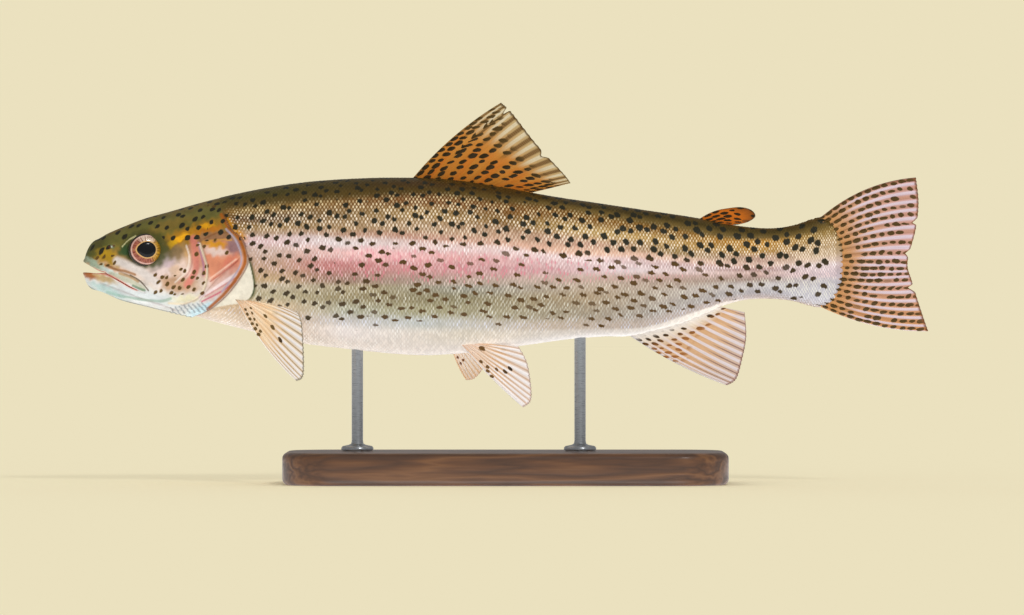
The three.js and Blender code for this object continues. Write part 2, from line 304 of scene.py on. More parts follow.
class Girth:
    """Even steps round the body's section, from the belly (0) to the back (1)."""

    def __init__(self, form: BodyForm, sections: int = 320) -> None:
        """Measures the sections of a form."""
        self.stations = np.linspace(form.first + 0.02, form.last - 0.02, sections)
        self.tilts = np.linspace(-math.pi / 2, math.pi / 2, 241)
        self.shares = np.linspace(0.0, 1.0, 161)
        rings = form.point(self.stations[:, None], self.tilts[None, :], 1.0)
        steps = np.linalg.norm(np.diff(rings[..., 1:], axis=1), axis=-1)
        arcs = np.concatenate([np.zeros((sections, 1)), steps.cumsum(1)], 1)
        self.half = arcs[:, -1]
        self.share_table = arcs / self.half[:, None]
        self.tilt_table = np.array([np.interp(self.shares, row, self.tilts) for row in self.share_table])

    def _look(self, table: np.ndarray, columns: np.ndarray, station: np.ndarray, at: np.ndarray) -> np.ndarray:
        """Reads a table between its rows and columns."""
        r = np.interp(station, self.stations, np.arange(len(self.stations)))
        c = np.interp(at, columns, np.arange(len(columns)))
        i = np.minimum(r.astype(int), len(self.stations) - 2)
        j = np.minimum(c.astype(int), len(columns) - 2)
        fr, fc = r - i, c - j
        near = table[i, j] * (1 - fc) + table[i, j + 1] * fc
        far = table[i + 1, j] * (1 - fc) + table[i + 1, j + 1] * fc
        return near * (1 - fr) + far * fr

    def tilt(self, station: np.ndarray, share: np.ndarray) -> np.ndarray:
        """Gives the tilt at a share of the half girth."""
        return self._look(self.tilt_table, self.shares, station, share)

    def share(self, station: np.ndarray, tilt: np.ndarray) -> np.ndarray:
        """Gives the share of the half girth at a tilt."""
        return self._look(self.share_table, self.tilts, station, tilt)

    def length(self, station: np.ndarray) -> np.ndarray:
        """Gives the half girth in metres."""
        return np.interp(station, self.stations, self.half)


# ---------------------------------------------------------------------------------------------------------
# Lines and plates of the head

GILL_EDGE = Seam((
    (150, 100), (166, 62), (176, 40), (190, 27), (197, 4.7), (192, -12), (173, -38), (150, -57),
    (128, -66), (108, -80),
))
BLADE_EDGE = Seam((
    (150, 100), (166, 62), (176, 40), (190, 27), (197.3, 5), (201, -9), (203.6, -22), (203.6, -33), (199.6, -42),
    (190, -48.5), (172, -51.5), (150, -57), (128, -66), (108, -80),
))
PREOPERCLE_RIDGE = Seam(((124, 27), (125.6, 19), (128.4, 8), (128, -3), (123.6, -13), (112, -24), (98, -31)))
PREOPERCLE_EDGE = Seam(((140, 27), (142, 19), (146.8, 3.6), (149.4, -7.6), (148.8, -20), (145.5, -32.4), (137, -42.8), (120, -49.6)))
SUBOPERCLE_SEAM = Seam(((188, 4), (176, -8), (162.9, -19), (151, -32), (140.5, -46)))
UPPER_LIP = Track(((0, 0.6), (2, 0), (12, -5.5), (21, -10.6), (28, -12.6), (45, -21.6), (59, -29.6), (73, -35), (77, -35.7)))
LOWER_LIP = Track(((0, -12.3), (6, -12.4), (19, -13.4), (28, -13.4), (45, -22.4), (59, -30.4), (73, -35.9), (77, -36)))
MAXILLA_LINE = Seam(((31, -9.5), (44, -15.5), (57, -21.5), (68, -27.5), (76, -31.5)))
JAW_GROOVE = Seam(((22, -25), (45, -33.5), (70, -43), (95, -51), (112, -57)))
WHITE_EDGE = Track((
    (150, -50), (200, -62), (310, -70), (450, -73), (500, -76), (600, -77), (655, -76.5), (680, -72), (700, -65),
    (720, -58.5), (740, -52.5), (760, -46), (811, -41.5), (850, -47), (895, -57),
))
STRIPE_FOOT = Track(((150, -22), (340, -25), (500, -25), (600, -20), (700, -18), (895, -18)))
STRIPE_TOP = Track((
    (150, 38), (204, 30), (270, 31), (310, 27), (350, 27), (400, 23.5), (450, 20), (500, 17), (550, 9.5), (600, 6),
    (650, 4.5), (700, 0), (750, -4), (800, -6), (895, 0),
))
DARK_EDGE = Track((
    (150, 60), (230, 68), (310, 75), (400, 80), (450, 77), (500, 70), (550, 66), (600, 57), (650, 48), (700, 40),
    (750, 30), (800, 27), (850, 32), (895, 45),
))
LATERAL_LINE = Track(((150, 40), (204, 28), (399, 23.6), (463, 20), (540, 9.4), (603, -1.2), (680, -5.9), (758, -7), (895, 0)))


@dataclass(frozen=True)
class EyePlace:
    """Where an eye opens in the head, and how big the opening is."""

    station: float = 75.0
    height: float = 13.8
    long: float = 19.7
    tall: float = 17.5

    def ring(self, station: np.ndarray, height: np.ndarray) -> np.ndarray:
        """Gives 0 at the eye's middle and 1 on its rim."""
        return np.hypot((station - self.station) / self.long, (height - self.height) / self.tall)


EYE = EyePlace()


@dataclass(frozen=True)
class HeadRelief:
    """How far the plates, lips and pits of the head stand out of the plain form, in millimetres."""

    gill_lift: float = 0.55
    gill_drop: float = 0.75
    lip: float = 0.45
    socket: float = 3.2

    def lift(self, station: np.ndarray, height: np.ndarray, rim: np.ndarray) -> np.ndarray:
        """Adds up the relief.

        Args:
            station: Stations of the places on the skin.
            height: Their heights.
            rim: Their distances from the mouth's rim, in thousandths.

        Returns:
            The lift in millimetres.
        """
        gill = GILL_EDGE.away(station, height)
        under = smooth(height, 70, 52)
        total = self.gill_lift * np.exp(-np.clip(-gill, 0, None) / 22.0) * smooth(gill, 0.7, -0.7) * under
        total -= self.gill_drop * np.exp(-np.clip(gill, 0, None) / 9.0) * smooth(gill, -0.7, 0.7) * under
        ridge = PREOPERCLE_RIDGE.away(station, height)
        total += 0.35 * hump(ridge, 0, 2.6)
        edge = PREOPERCLE_EDGE.away(station, height)
        total += 0.32 * np.exp(-np.clip(-edge, 0, None) / 9.0) * smooth(edge, 0.6, -0.6) * (gill < 0)
        total -= 0.28 * hump(edge, 1.0, 1.1) * (gill < 0)
        total -= 0.3 * hump(SUBOPERCLE_SEAM.away(station, height), 0, 1.0)
        rays = smooth(gill, -24, -18) * smooth(gill, -1.0, -3.0) * smooth(height, -43, -50)
        total += 0.22 * np.cos(gill * 2 * math.pi / 4.4) * rays
        total += self.lip * hump(rim, 1.6, 1.9)
        maxilla = MAXILLA_LINE.away(station, height)
        reach = smooth(station, 27, 33) * smooth(station, 80.5, 77.5)
        total += 0.62 * smooth(np.abs(maxilla), 5.4, 3.9) * reach
        total -= 0.2 * hump(maxilla, 6.4, 1.1) * reach
        total -= 0.25 * hump(JAW_GROOVE.away(station, height), 0, 1.5)
        ring = EYE.ring(station, height)
        total -= self.socket * smooth(ring, 1.0, 0.9)
        total += 0.4 * hump(ring, 1.12, 0.1)
        total -= 0.25 * hump(ring, 1.42, 0.14)
        for s, h, deep in ((33.4, 17.4, 0.9), (37.8, 19.2, 0.8)):
            total -= deep * smooth(np.hypot((station - s) / 2.0, (height - h) / 1.5), 1.15, 0.5)
        total += 0.3 * hump(np.hypot(station - 35.8, (height - 17.2) / 1.6), 0, 1.0)
        return total


# ---------------------------------------------------------------------------------------------------------
# Colours of skin and scales


Bands = tuple[tuple[float, str], ...]


def banded(bands: Bands, at: np.ndarray) -> np.ndarray:
    """Blends colours that are given from the belly up.

    Args:
        bands: A level and a colour for each band, in order of level.
        at: The levels asked about.

    Returns:
        Linear colours, in a last axis of 3.
    """
    levels = [level for level, _ in bands]
    tints = np.array([colour(code) for _, code in bands])
    return np.stack([np.interp(at, levels, tints[:, k]) for k in range(3)], -1)


def wavered(station: np.ndarray, height: np.ndarray, reach: float) -> list[np.ndarray]:
    """Shifts places by a soft ripple, so that the edge of a patch of colour wavers."""
    rng = np.random.default_rng(SEED)
    return [
        at + reach / 2.6 * sum(np.sin(station * k + height * m + p) for k, m, p in rng.normal(0.0, (0.5, 0.5, 3.0), (9, 3)))
        for at in (station, height)
    ]


@dataclass(frozen=True)
class Patch:
    """A soft oval of colour on the side of the head."""

    name: str
    station: float
    height: float
    long: float
    tall: float
    turn: float
    tint: str
    strength: float = 1.0
    edge: float = 0.55

    def over(self, tint: np.ndarray, station: np.ndarray, height: np.ndarray) -> np.ndarray:
        """Lays the patch over a colour."""
        a = math.radians(self.turn)
        s, h = station - self.station, height - self.height
        r = np.hypot((s * math.cos(a) + h * math.sin(a)) / self.long, (h * math.cos(a) - s * math.sin(a)) / self.tall)
        return mixed(tint, colour(self.tint), self.strength * smooth(r, 1.0 + self.edge, 1.0 - self.edge))


@dataclass(frozen=True)
class Stroke:
    """A soft line of colour on the side of the head."""

    name: str
    points: Pairs
    width: float
    tint: str
    strength: float = 1.0

    def over(self, tint: np.ndarray, station: np.ndarray, height: np.ndarray) -> np.ndarray:
        """Lays the line over a colour."""
        off = np.abs(Seam(self.points).away(station, height))
        return mixed(tint, colour(self.tint), self.strength * smooth(off, 0.85 * self.width, 0.25 * self.width))


@dataclass(frozen=True)
class Band:
    """A band of colour along the flank, at a level between belly (-1) and back (1)."""

    name: str
    level: float
    tints: Bands


@dataclass(frozen=True)
class Livery:
    """The trout's colours and where its spots lie. Skin and scales share them."""

    flank: tuple[Band, ...] = (
        Band("belly's edge", -1.0, ((230, "cdbba8"), (400, "f2e8de"), (650, "f7f5f2"), (745, "f7efe4"), (800, "b4a094"), (868, "b4a094"))),
        Band("belly", -0.82, ((230, "cdb89f"), (310, "e0d6d0"), (450, "d1c7b5"), (600, "dad1c8"), (745, "f7efe4"), (800, "b8a49c"), (868, "b8aaa4"))),
        Band("belly line", -0.72, ((230, "c4ab8c"), (310, "beb7af"), (400, "b3b5ad"), (550, "c1b09b"), (800, "b2a29c"), (868, "bcb4b2"))),
        Band("low flank", -0.62, ((230, "c4aa88"), (310, "9b9882"), (400, "98916e"), (600, "998b75"), (800, "a49ea1"), (868, "b4b0b8"))),
        Band("lower flank", -0.5, ((230, "a69979"), (310, "887956"), (450, "807757"), (600, "9d886b"), (800, "b7b0af"), (868, "b4b0b6"))),
        Band("under the stripe", -0.4, ((230, "afa087"), (340, "968866"), (450, "878476"), (600, "b09c89"), (800, "91796e"), (868, "b4aeb2"))),
        Band("stripe's foot", -0.345, ((230, "b1956f"), (290, "8b6b58"), (400, "998575"), (600, "bba798"), (800, "a88c83"), (868, "b8aaae"))),
        Band("stripe", -0.22, ((230, "ac8c74"), (290, "b2716c"), (420, "bf8886"), (560, "c29998"), (640, "d3c3c2"), (800, "c1a396"), (868, "bcacae"))),
        Band("stripe's middle", -0.12, ((230, "ba9f8f"), (350, "e7b3b1"), (450, "ce9894"), (620, "ceb7b5"), (800, "9a786f"), (868, "c4b0b0"))),
        Band("stripe's pale top", -0.04, ((230, "c8a9a6"), (310, "cfc1bd"), (400, "d1b4ad"), (600, "dcc0bd"), (800, "aa8275"), (868, "c8b4b0"))),
        Band("over the stripe", 0.06, ((230, "a6896f"), (400, "b48571"), (600, "daaf96"), (800, "c4a494"), (868, "c4ac9a"))),
        Band("upper flank", 0.2, ((230, "907040"), (400, "a68664"), (600, "bc927b"), (700, "8e723d"), (800, "af8c7c"), (868, "b49a78"))),
        Band("gold flank", 0.42, ((230, "644627"), (400, "a17f48"), (500, "7e581a"), (600, "b89655"), (800, "a87b2c"), (868, "a8885a"))),
        Band("back's border", 0.64, ((230, "876531"), (400, "744217"), (600, "805311"), (700, "81560c"), (800, "be8119"), (868, "8a6c34"))),
        Band("dark back", 0.78, ((230, "58461e"), (400, "523d11"), (600, "6f5827"), (800, "685325"), (868, "66501e"))),
        Band("back", 0.9, ((230, "4a4218"), (400, "4a3212"), (600, "443612"), (800, "483a14"), (868, "4a3a16"))),
        Band("ridge", 1.0, ((230, "4c4018"), (500, "4a3814"), (800, "5c441c"), (868, "5c441e"))),
    )
    glints: Bands = (
        (-1.0, "fbf6ee"), (-0.8, "f1ece4"), (-0.72, "d8dcec"), (-0.6, "dedccc"), (-0.42, "e2dcc8"), (-0.3, "f0cfcb"),
        (-0.05, "fbf2f0"), (0.1, "f0dcc4"), (0.4, "f6e6cc"), (0.66, "e6cf9c"), (0.8, "6a5a34"),
    )
    deep_pink: str = "cc5a70"
    head: Bands = (
        (-1.0, "c9c6bd"), (-0.75, "d6d6d0"), (-0.4, "dccfc2"), (-0.1, "d3b49c"), (0.15, "bd9464"),
        (0.36, "9a7430"), (0.52, "74662a"), (0.66, "605c2a"), (0.85, "6a6230"), (0.95, "6c5826"), (1.0, "74581f"),
    )
    marks: tuple[Patch | Stroke, ...] = (
        Patch("snout", 8, 14, 24, 13, 30, "4c4e22", 0.9),
        Patch("brow", 70, 40, 34, 7, 24, "605c2a", 0.7),
        Patch("crown's gold", 100, 41, 34, 5.5, 20, "86692a", 0.55),
        Patch("snout's gold", 33, 5, 15, 8, -25, "a48018", 0.95),
        Patch("snout's green", 18, 20, 9, 5, 45, "4e4723", 0.7),
        Patch("nostril's rim", 36, 17, 4, 3.2, 0, "6b7048", 0.9),
        Patch("nostril", 35.5, 17.3, 1.7, 1.4, 0, "c2ccb8", 0.9, 0.3),
        Patch("front lip", 15, -2.5, 15, 4.2, -28, "95a48c", 0.95),
        Patch("lip behind", 36, -13.5, 13, 3.2, -28, "c6d8d2", 0.85),
        Patch("cheek", 99, -6, 24, 15, 0, "dfc9c0", 0.95),
        Patch("cheek's lilac", 103, -2, 8, 5, 12, "c7aac0", 0.4),
        Patch("low cheek", 116, -27, 27, 10, -5, "b98e68", 0.9),
        Patch("cheek's tan", 112, -9, 7, 7, -30, "cea67b", 0.6),
        Patch("behind the eye", 113, 11, 10, 10, 40, "7d6645", 0.9),
        Patch("gold over the cheek", 134, 35, 36, 8.5, 18, "aa7517", 0.95),
        Patch("gold fleck", 108, 22, 6, 4.5, 40, "cc9a13", 0.9, 0.4),
        Patch("gold fleck behind", 120, 29, 9, 3.5, 20, "f2ac17", 0.85, 0.4),
        Patch("gold fleck over", 148, 42, 9, 3, 8, "d8980f", 0.8, 0.4),
        Patch("gill cover", 166, 0, 26, 26, 0, "cd8160", 0.95, 0.35),
        Patch("gill cover's top", 158, 29, 24, 6, 6, "8c6447", 0.85),
        Patch("gill cover's rust", 152, 37, 18, 3.5, 10, "b26718", 0.7),
        # A painted highlight on the gill cover.
        Patch("gill cover's painted highlight", 161, 12, 14, 6, -8, "cfb9ad", 0.9),
        Patch("gill cover's gold", 160, 19.5, 14, 3.4, -6, "c8891c", 0.95),
        Patch("gill cover's mauve", 181, 18, 10, 8, -55, "81646a", 0.85),
        Patch("gill cover's rose", 176, -3, 14, 7, 38, "c56d58", 0.75),
        Patch("under the gill cover", 165, -30, 26, 11, 48, "c8a497", 0.9),
        Patch("cheek's foot", 120, -44.5, 22, 4.2, 8, "d6cca4", 0.85),
        Patch("round the eye", 78, 13, 29, 22, 0, "43461e", 0.95, 0.3),
        Patch("eye's green corner", 53, 12, 8, 7, 0, "2f4a28", 0.9),
        Patch("lower jaw", 62, -38, 52, 9, -14, "cbd0ce", 0.95),
        Patch("jaw's front", 25, -19, 17, 4.5, -20, "b09461", 0.9),
        Patch("jaw's tip", 9, -16, 9, 4.2, -10, "965218", 0.95),
        Patch("gill skin", 148, -56, 30, 8, 24, "b9d4da", 0.9),
        Stroke("under the eye", ((43, 1), (56, -4.5), (70, -11), (82, -19), (91, -27)), 9.0, "d4c9c0", 0.95),
        Stroke("lip's rust", ((29, -3.5), (40, -8.5), (52, -11), (64, -15)), 2.6, "96622e", 0.8),
        Stroke("jaw plate", ((36, -14), (50, -19), (62, -24), (74, -31)), 5.0, "b7b79f", 0.9),
        Stroke("jaw plate's tan", ((46, -13.5), (58, -17.5), (68, -23)), 2.6, "a98552", 0.75),
        Stroke("jaw plate's green", ((62, -27.5), (70, -31), (76, -33)), 2.2, "55785a", 0.75),
        Stroke("jaw plate's edge", ((58, -15.5), (68, -21), (76, -28), (80, -34)), 1.3, "4c3c1c", 0.8),
        Stroke("mouth line", ((22, -12.5), (37, -17), (47, -22.5), (57, -29), (66, -33)), 2.8, "d4866c", 0.7),
        Stroke("jaw's under edge", ((1, -16), (4, -26), (15, -33.4), (29, -38.8), (46, -45.3), (74, -52.4), (103, -59.2), (130, -65)), 2.4, "5c5a42", 0.8),
        Stroke("jaw's white line", ((52, -42.5), (75, -47.5), (98, -52.5)), 1.8, "e2e0dc", 0.8),
        Stroke("jaw's green", ((30, -35.5), (46, -40), (62, -43), (80, -45.5), (96, -46), (106, -43)), 3.0, "5f8f6e", 0.5),
        Patch("jaw's wash", 30, -33.5, 22, 5, -22, "8cb1a6", 0.55),
        Stroke("cheek ridge", ((125, 19), (128.4, 8), (128, -3), (123.5, -13), (112, -24)), 1.5, "dfcdbd", 0.9),
        Stroke("ridge's shade", ((128, 19), (131.6, 8), (131.5, -3), (127, -14), (116, -25)), 1.8, "a9706a", 0.65),
        Stroke("pink plate", ((133, 27), (136, 8), (136, -10), (126, -27)), 7.5, "cc7667", 0.85),
        Stroke("plate's mauve", ((139.5, 22), (143, 6.6), (145.5, -5), (145, -16)), 2.4, "a8748c", 0.8),
        Stroke(
            "plate's edge", ((141, 21), (146.8, 3.6), (149.6, -7.6), (149, -20), (145.5, -32.4), (137, -42.5), (123, -48.4), (104, -48.5)),
            2.2, "dccdb0", 0.95,
        ),
        Stroke("upper ray", ((152, -20.5), (168, -9), (184, 3)), 1.7, "e2b49c", 0.9),
        Stroke("middle ray", ((141, -42), (162, -29), (183, -15)), 3.4, "e0ccc8", 0.9),
        Stroke("lower ray", ((143, -46.5), (165, -35.5), (184, -23)), 1.7, "bc5468", 0.85),
        Stroke("upper ray's shade", ((153, -23.5), (169, -12), (186, 1)), 1.3, "a85442", 0.75),
        Stroke("middle ray's shade", ((147, -40.5), (165, -30), (184, -18.5)), 1.3, "b86468", 0.7),
        Stroke("cover's brown line", ((146, 27), (160, 33), (174, 34)), 1.6, "7a4a28", 0.7),
        Stroke("cover's gold line", ((150, 24), (164, 26), (178, 25)), 1.5, "c88f38", 0.8),
        Stroke("gill cover's rim", ((172, 38), (183, 25.5), (190, 6), (186, -10), (167, -35)), 1.8, "a89ca8", 0.9),
        Stroke(
            "gill edge", ((166, 55), (175, 40), (187.5, 27), (194.6, 5), (190, -11), (171.5, -36), (150, -55)),
            3.6, "9c5414", 0.95,
        ),
        Stroke("lid", ((48.5, 18), (56, 25), (65, 30)), 1.3, "c5bd88", 0.9),
        *(
            Stroke(
                f"gill ray {k}", ((105.8 + 5.3 * k, 0.8 * k - 53.6), (109.7 + 6.2 * k, 0.5 * k - 60.6)), 1.5, "727a80", 0.75
            )
            for k in range(8)
        ),
    )
    blade: str = "dcd4c0"
    blade_shade: str = "3f4a26"
    head_gold: str = "c8891c"

    def level(self, station: np.ndarray, height: np.ndarray) -> np.ndarray:
        """Gives -1 at the belly's edge, -0.36 and 0 at the stripe's foot and top, and 1 at the back."""
        lines = (BELLY, WHITE_EDGE, STRIPE_FOOT, STRIPE_TOP, DARK_EDGE, BACK)
        edges = [line(station) for line in lines]
        total = np.full(np.shape(station), -1.0)
        for low, high, step in zip(edges, edges[1:], (0.28, 0.36, 0.36, 0.73, 0.27)):
            total = total + step * np.clip((height - low) / (high - low), 0.0, 1.0)
        return total

    def flank_tint(self, station: np.ndarray, height: np.ndarray) -> np.ndarray:
        """Gives the ground colour behind the gills."""
        level = self.level(station, height)
        tint = banded(self.flank[0].tints, station)
        for low, high in zip(self.flank, self.flank[1:]):
            tint = mixed(tint, banded(high.tints, station), smooth(level, low.level, high.level))
        return tint

    def blush(self, station: np.ndarray, level: np.ndarray) -> np.ndarray:
        """Gives how strongly the stripe is rose."""
        along = smooth(station, 250, 340) * smooth(station, 720, 560)
        return along * smooth(level, -0.37, -0.33) * smooth(level, -0.02, -0.1)

    def head_tint(self, station: np.ndarray, height: np.ndarray) -> np.ndarray:
        """Gives the ground colour of the head."""
        middle = WIDEST_HEIGHT(station)
        reach = np.where(height > middle, BACK(station) - middle, middle - BELLY(station))
        s, h = wavered(station, height, 1.3)
        tint = banded(self.head, np.clip((h - middle) / reach, -1.0, 1.0))
        for mark in self.marks:
            tint = mark.over(tint, s, h) if isinstance(mark, Patch) else mark.over(tint, station, height)
        return tint

    def tint(self, station: np.ndarray, height: np.ndarray) -> np.ndarray:
        """Gives the skin's ground colour, without spots.

        Args:
            station: Stations of the places.
            height: Their heights.

        Returns:
            Linear colours, in a last axis of 3.
        """
        flank, gill, blade = self.flank_tint(station, height), GILL_EDGE.away(station, height), BLADE_EDGE.away(station, height)
        shade = smooth(height, 8, -4) * smooth(height, -50, -38) * hump(blade, 1.0, 1.8)
        flank = mixed(flank, colour(self.blade_shade), shade)
        flank = mixed(flank, colour(self.head_gold), 0.9 * hump(gill, 2.5, 3.5) * smooth(height, 20, 30) * smooth(height, 58, 48))
        flank = mixed(flank, colour(self.blade), smooth(blade, 0.4, -0.4) * smooth(height, 56, 44))
        soft = 0.6 + 12.0 * smooth(height, 56, 66)
        return mixed(self.head_tint(station, height), flank, smooth(gill, -soft, soft))

    def glint(self, station: np.ndarray, height: np.ndarray, chance: np.ndarray) -> np.ndarray:
        """Gives the colour of a scale's pale middle, and how strongly it shows."""
        level = self.level(station, height)
        tint = banded(self.glints, level)
        strength = 0.4 + 0.34 * smooth(level, 0.06, 0.3) + 0.16 * smooth(level, -0.12, -0.02) * smooth(level, 0.1, 0.0)
        strength = strength * (1.0 - 0.72 * smooth(level, 0.66, 0.8)) + 0.3 * smooth(station, 790, 850) * (level < 0.5)
        cluster = np.sin(station / 9.0 + 2.0 * np.sin(height / 7.0)) * np.sin(height / 6.0 + 1.7 * np.sin(station / 13.0))
        strength = strength * (0.25 + 1.25 * chance) * (1.0 + 0.6 * cluster)
        line = hump(height - LATERAL_LINE(station), 0.0, 2.2) * smooth(station, 330, 420)
        strength = np.maximum(strength, 0.75 * line)
        deep = self.blush(station, level) * smooth(chance, 0.7, 0.8) * 0.8
        deep = np.maximum(deep, 0.8 * hump(level, -0.35, 0.035) * smooth(station, 500, 580) * smooth(station, 750, 690))
        tint = mixed(tint, colour(self.deep_pink), deep)
        return np.concatenate([tint, np.clip(strength + 0.3 * deep, 0, 0.95)[..., None]], -1)

    def glint_size(self, station: np.ndarray, height: np.ndarray) -> np.ndarray:
        """Gives the reach of a scale's pale middle, along and across the scale, as shares of its size."""
        level = self.level(station, height)
        dot = smooth(level, 0.1, 0.35)
        return np.stack([0.15 + 0.05 * dot, 0.38 - 0.1 * dot, np.zeros(level.shape)], -1)

    def depth(self, station: np.ndarray, height: np.ndarray) -> np.ndarray:
        """Gives how much darker a scale's edge is than its middle."""
        level = self.level(station, height)
        upper = 0.22 * smooth(level, 0.0, 0.3) * smooth(level, 0.8, 0.64)
        return 0.05 + upper + 0.06 * smooth(level, -0.33, -0.4) * smooth(level, -0.8, -0.7)

    def spots(self, station: np.ndarray, height: np.ndarray) -> np.ndarray:
        """Gives how many of the flank's spots show, and how brown and drawn out they are."""
        level = self.level(station, height)
        drawn = smooth(level, 0.14, -0.1) * (0.3 + 0.7 * smooth(station, 250, 420))
        drawn = drawn * (1 - 0.6 * smooth(station, 720, 800))
        amount = 0.95 * smooth(level, -0.79, -0.6) * (1 - 0.42 * self.blush(station, level))
        clear = smooth(BLADE_EDGE.away(station, height), 0.5, 3.5)
        clear = clear * smooth(station, 884, 872)
        return np.stack([clear * amount, drawn, np.zeros(level.shape)], -1)

    def growth(self, station: np.ndarray, height: np.ndarray) -> np.ndarray:
        """Gives how much bigger the spots are than on the shoulder."""
        upper = smooth(self.level(station, height), -0.2, 0.1)
        return 1.0 + smooth(station, 420, 660) * (0.04 + 0.18 * upper)

    def head_spots(self, station: np.ndarray, height: np.ndarray) -> np.ndarray:
        """Gives how many of the spots show on the head."""
        ring = EYE.ring(station, height)
        top = smooth(height, 20, 27) * smooth(ring, 1.3, 1.6)
        top = np.maximum(top, smooth(station, 50, 30) * smooth(height, 2, 7))
        cover = 0.22 * smooth(station, 148, 153) * smooth(height, -18, -8)
        cheek = smooth(station, 80, 86) * smooth(station, 150, 146) * smooth(height, -42, -37) * smooth(height, 22, 18)
        cheek = cheek * (0.3 + 0.7 * smooth(height, -6, -18))
        snout = smooth(station, 52, 40) * smooth(height, -6, -2) * smooth(height, 10, 6)
        small = cheek * smooth(ring, 1.2, 1.3) + cover + 0.8 * snout
        return np.stack([top, 0.0 * ring, 0.95 * np.clip(small, 0, 1)], -1)


LIVERY = Livery()


# ---------------------------------------------------------------------------------------------------------
# Meshes


def store(mesh: bpy.types.Mesh, name: str, values: np.ndarray) -> None:
    """Keeps a number, a direction or a colour for each vertex of a mesh."""
    values = np.asarray(values, np.float32)
    width = 1 if values.ndim == 1 else values.shape[1]
    kind, key = {1: ("FLOAT", "value"), 3: ("FLOAT_VECTOR", "vector"), 4: ("FLOAT_COLOR", "color")}[width]
    layer = mesh.attributes.new(name, kind, "POINT")
    layer.data.foreach_set(key, values.ravel())


def store_tint(mesh: bpy.types.Mesh, tint: np.ndarray) -> None:
    """Keeps a ground colour for each vertex of a mesh."""
    store(mesh, "tint", np.concatenate([tint, np.ones((len(tint), 1))], 1))


def place_points(mesh: bpy.types.Mesh, points: np.ndarray) -> None:
    """Moves a mesh's vertices to new points."""
    mesh.vertices.foreach_set("co", np.asarray(points, np.float32).ravel())
    mesh.update()


def grid_mesh(name: str, columns: int, rows: int) -> tuple[bpy.types.Mesh, np.ndarray, np.ndarray]:
    """Makes a flat grid with a map.

    Args:
        name: The mesh's name.
        columns: How many quads lie across.
        rows: How many quads lie down.

    Returns:
        The mesh, and each vertex's column and row.
    """
    bm = bmesh.new()
    bm.loops.layers.uv.new(BAKE_MAP)
    bmesh.ops.create_grid(bm, x_segments=columns, y_segments=rows, size=0.5, calc_uvs=True)
    mesh = bpy.data.meshes.new(name)
    bm.to_mesh(mesh)
    bm.free()
    flat = np.empty(len(mesh.vertices) * 3, np.float32)
    mesh.vertices.foreach_get("co", flat)
    at = flat.reshape(-1, 3)[:, :2] + 0.5
    return mesh, np.rint(at[:, 0] * columns).astype(int), np.rint(at[:, 1] * rows).astype(int)


def close_up(mesh: bpy.types.Mesh, reach: float = 2e-6) -> None:
    """Joins a mesh's meeting vertices, and turns its faces outwards."""
    bm = bmesh.new()
    bm.from_mesh(mesh)
    bmesh.ops.remove_doubles(bm, verts=bm.verts, dist=reach)
    bmesh.ops.recalc_face_normals(bm, faces=bm.faces)
    bm.to_mesh(mesh)
    bm.free()


def enlist(name: str, mesh: bpy.types.Mesh, material: bpy.types.Material, nodes: tuple[str, ...]) -> bpy.types.Object:
    """Puts a finished mesh in the scene as a piece of the model.

    Args:
        name: The piece's name.
        mesh: Its mesh.
        material: Its finish.
        nodes: The solids that it stands for.

    Returns:
        The piece.
    """
    piece = bpy.data.objects.new(name, mesh)
    bpy.context.scene.collection.objects.link(piece)
    mesh.materials.clear()
    mesh.materials.append(material)
    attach(piece, BODY)
    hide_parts(*nodes)
    mesh.calc_loop_triangles()
    LOG.info("%s: %d triangles", name, len(mesh.loop_triangles))
    return piece


# ---------------------------------------------------------------------------------------------------------
# Finishes


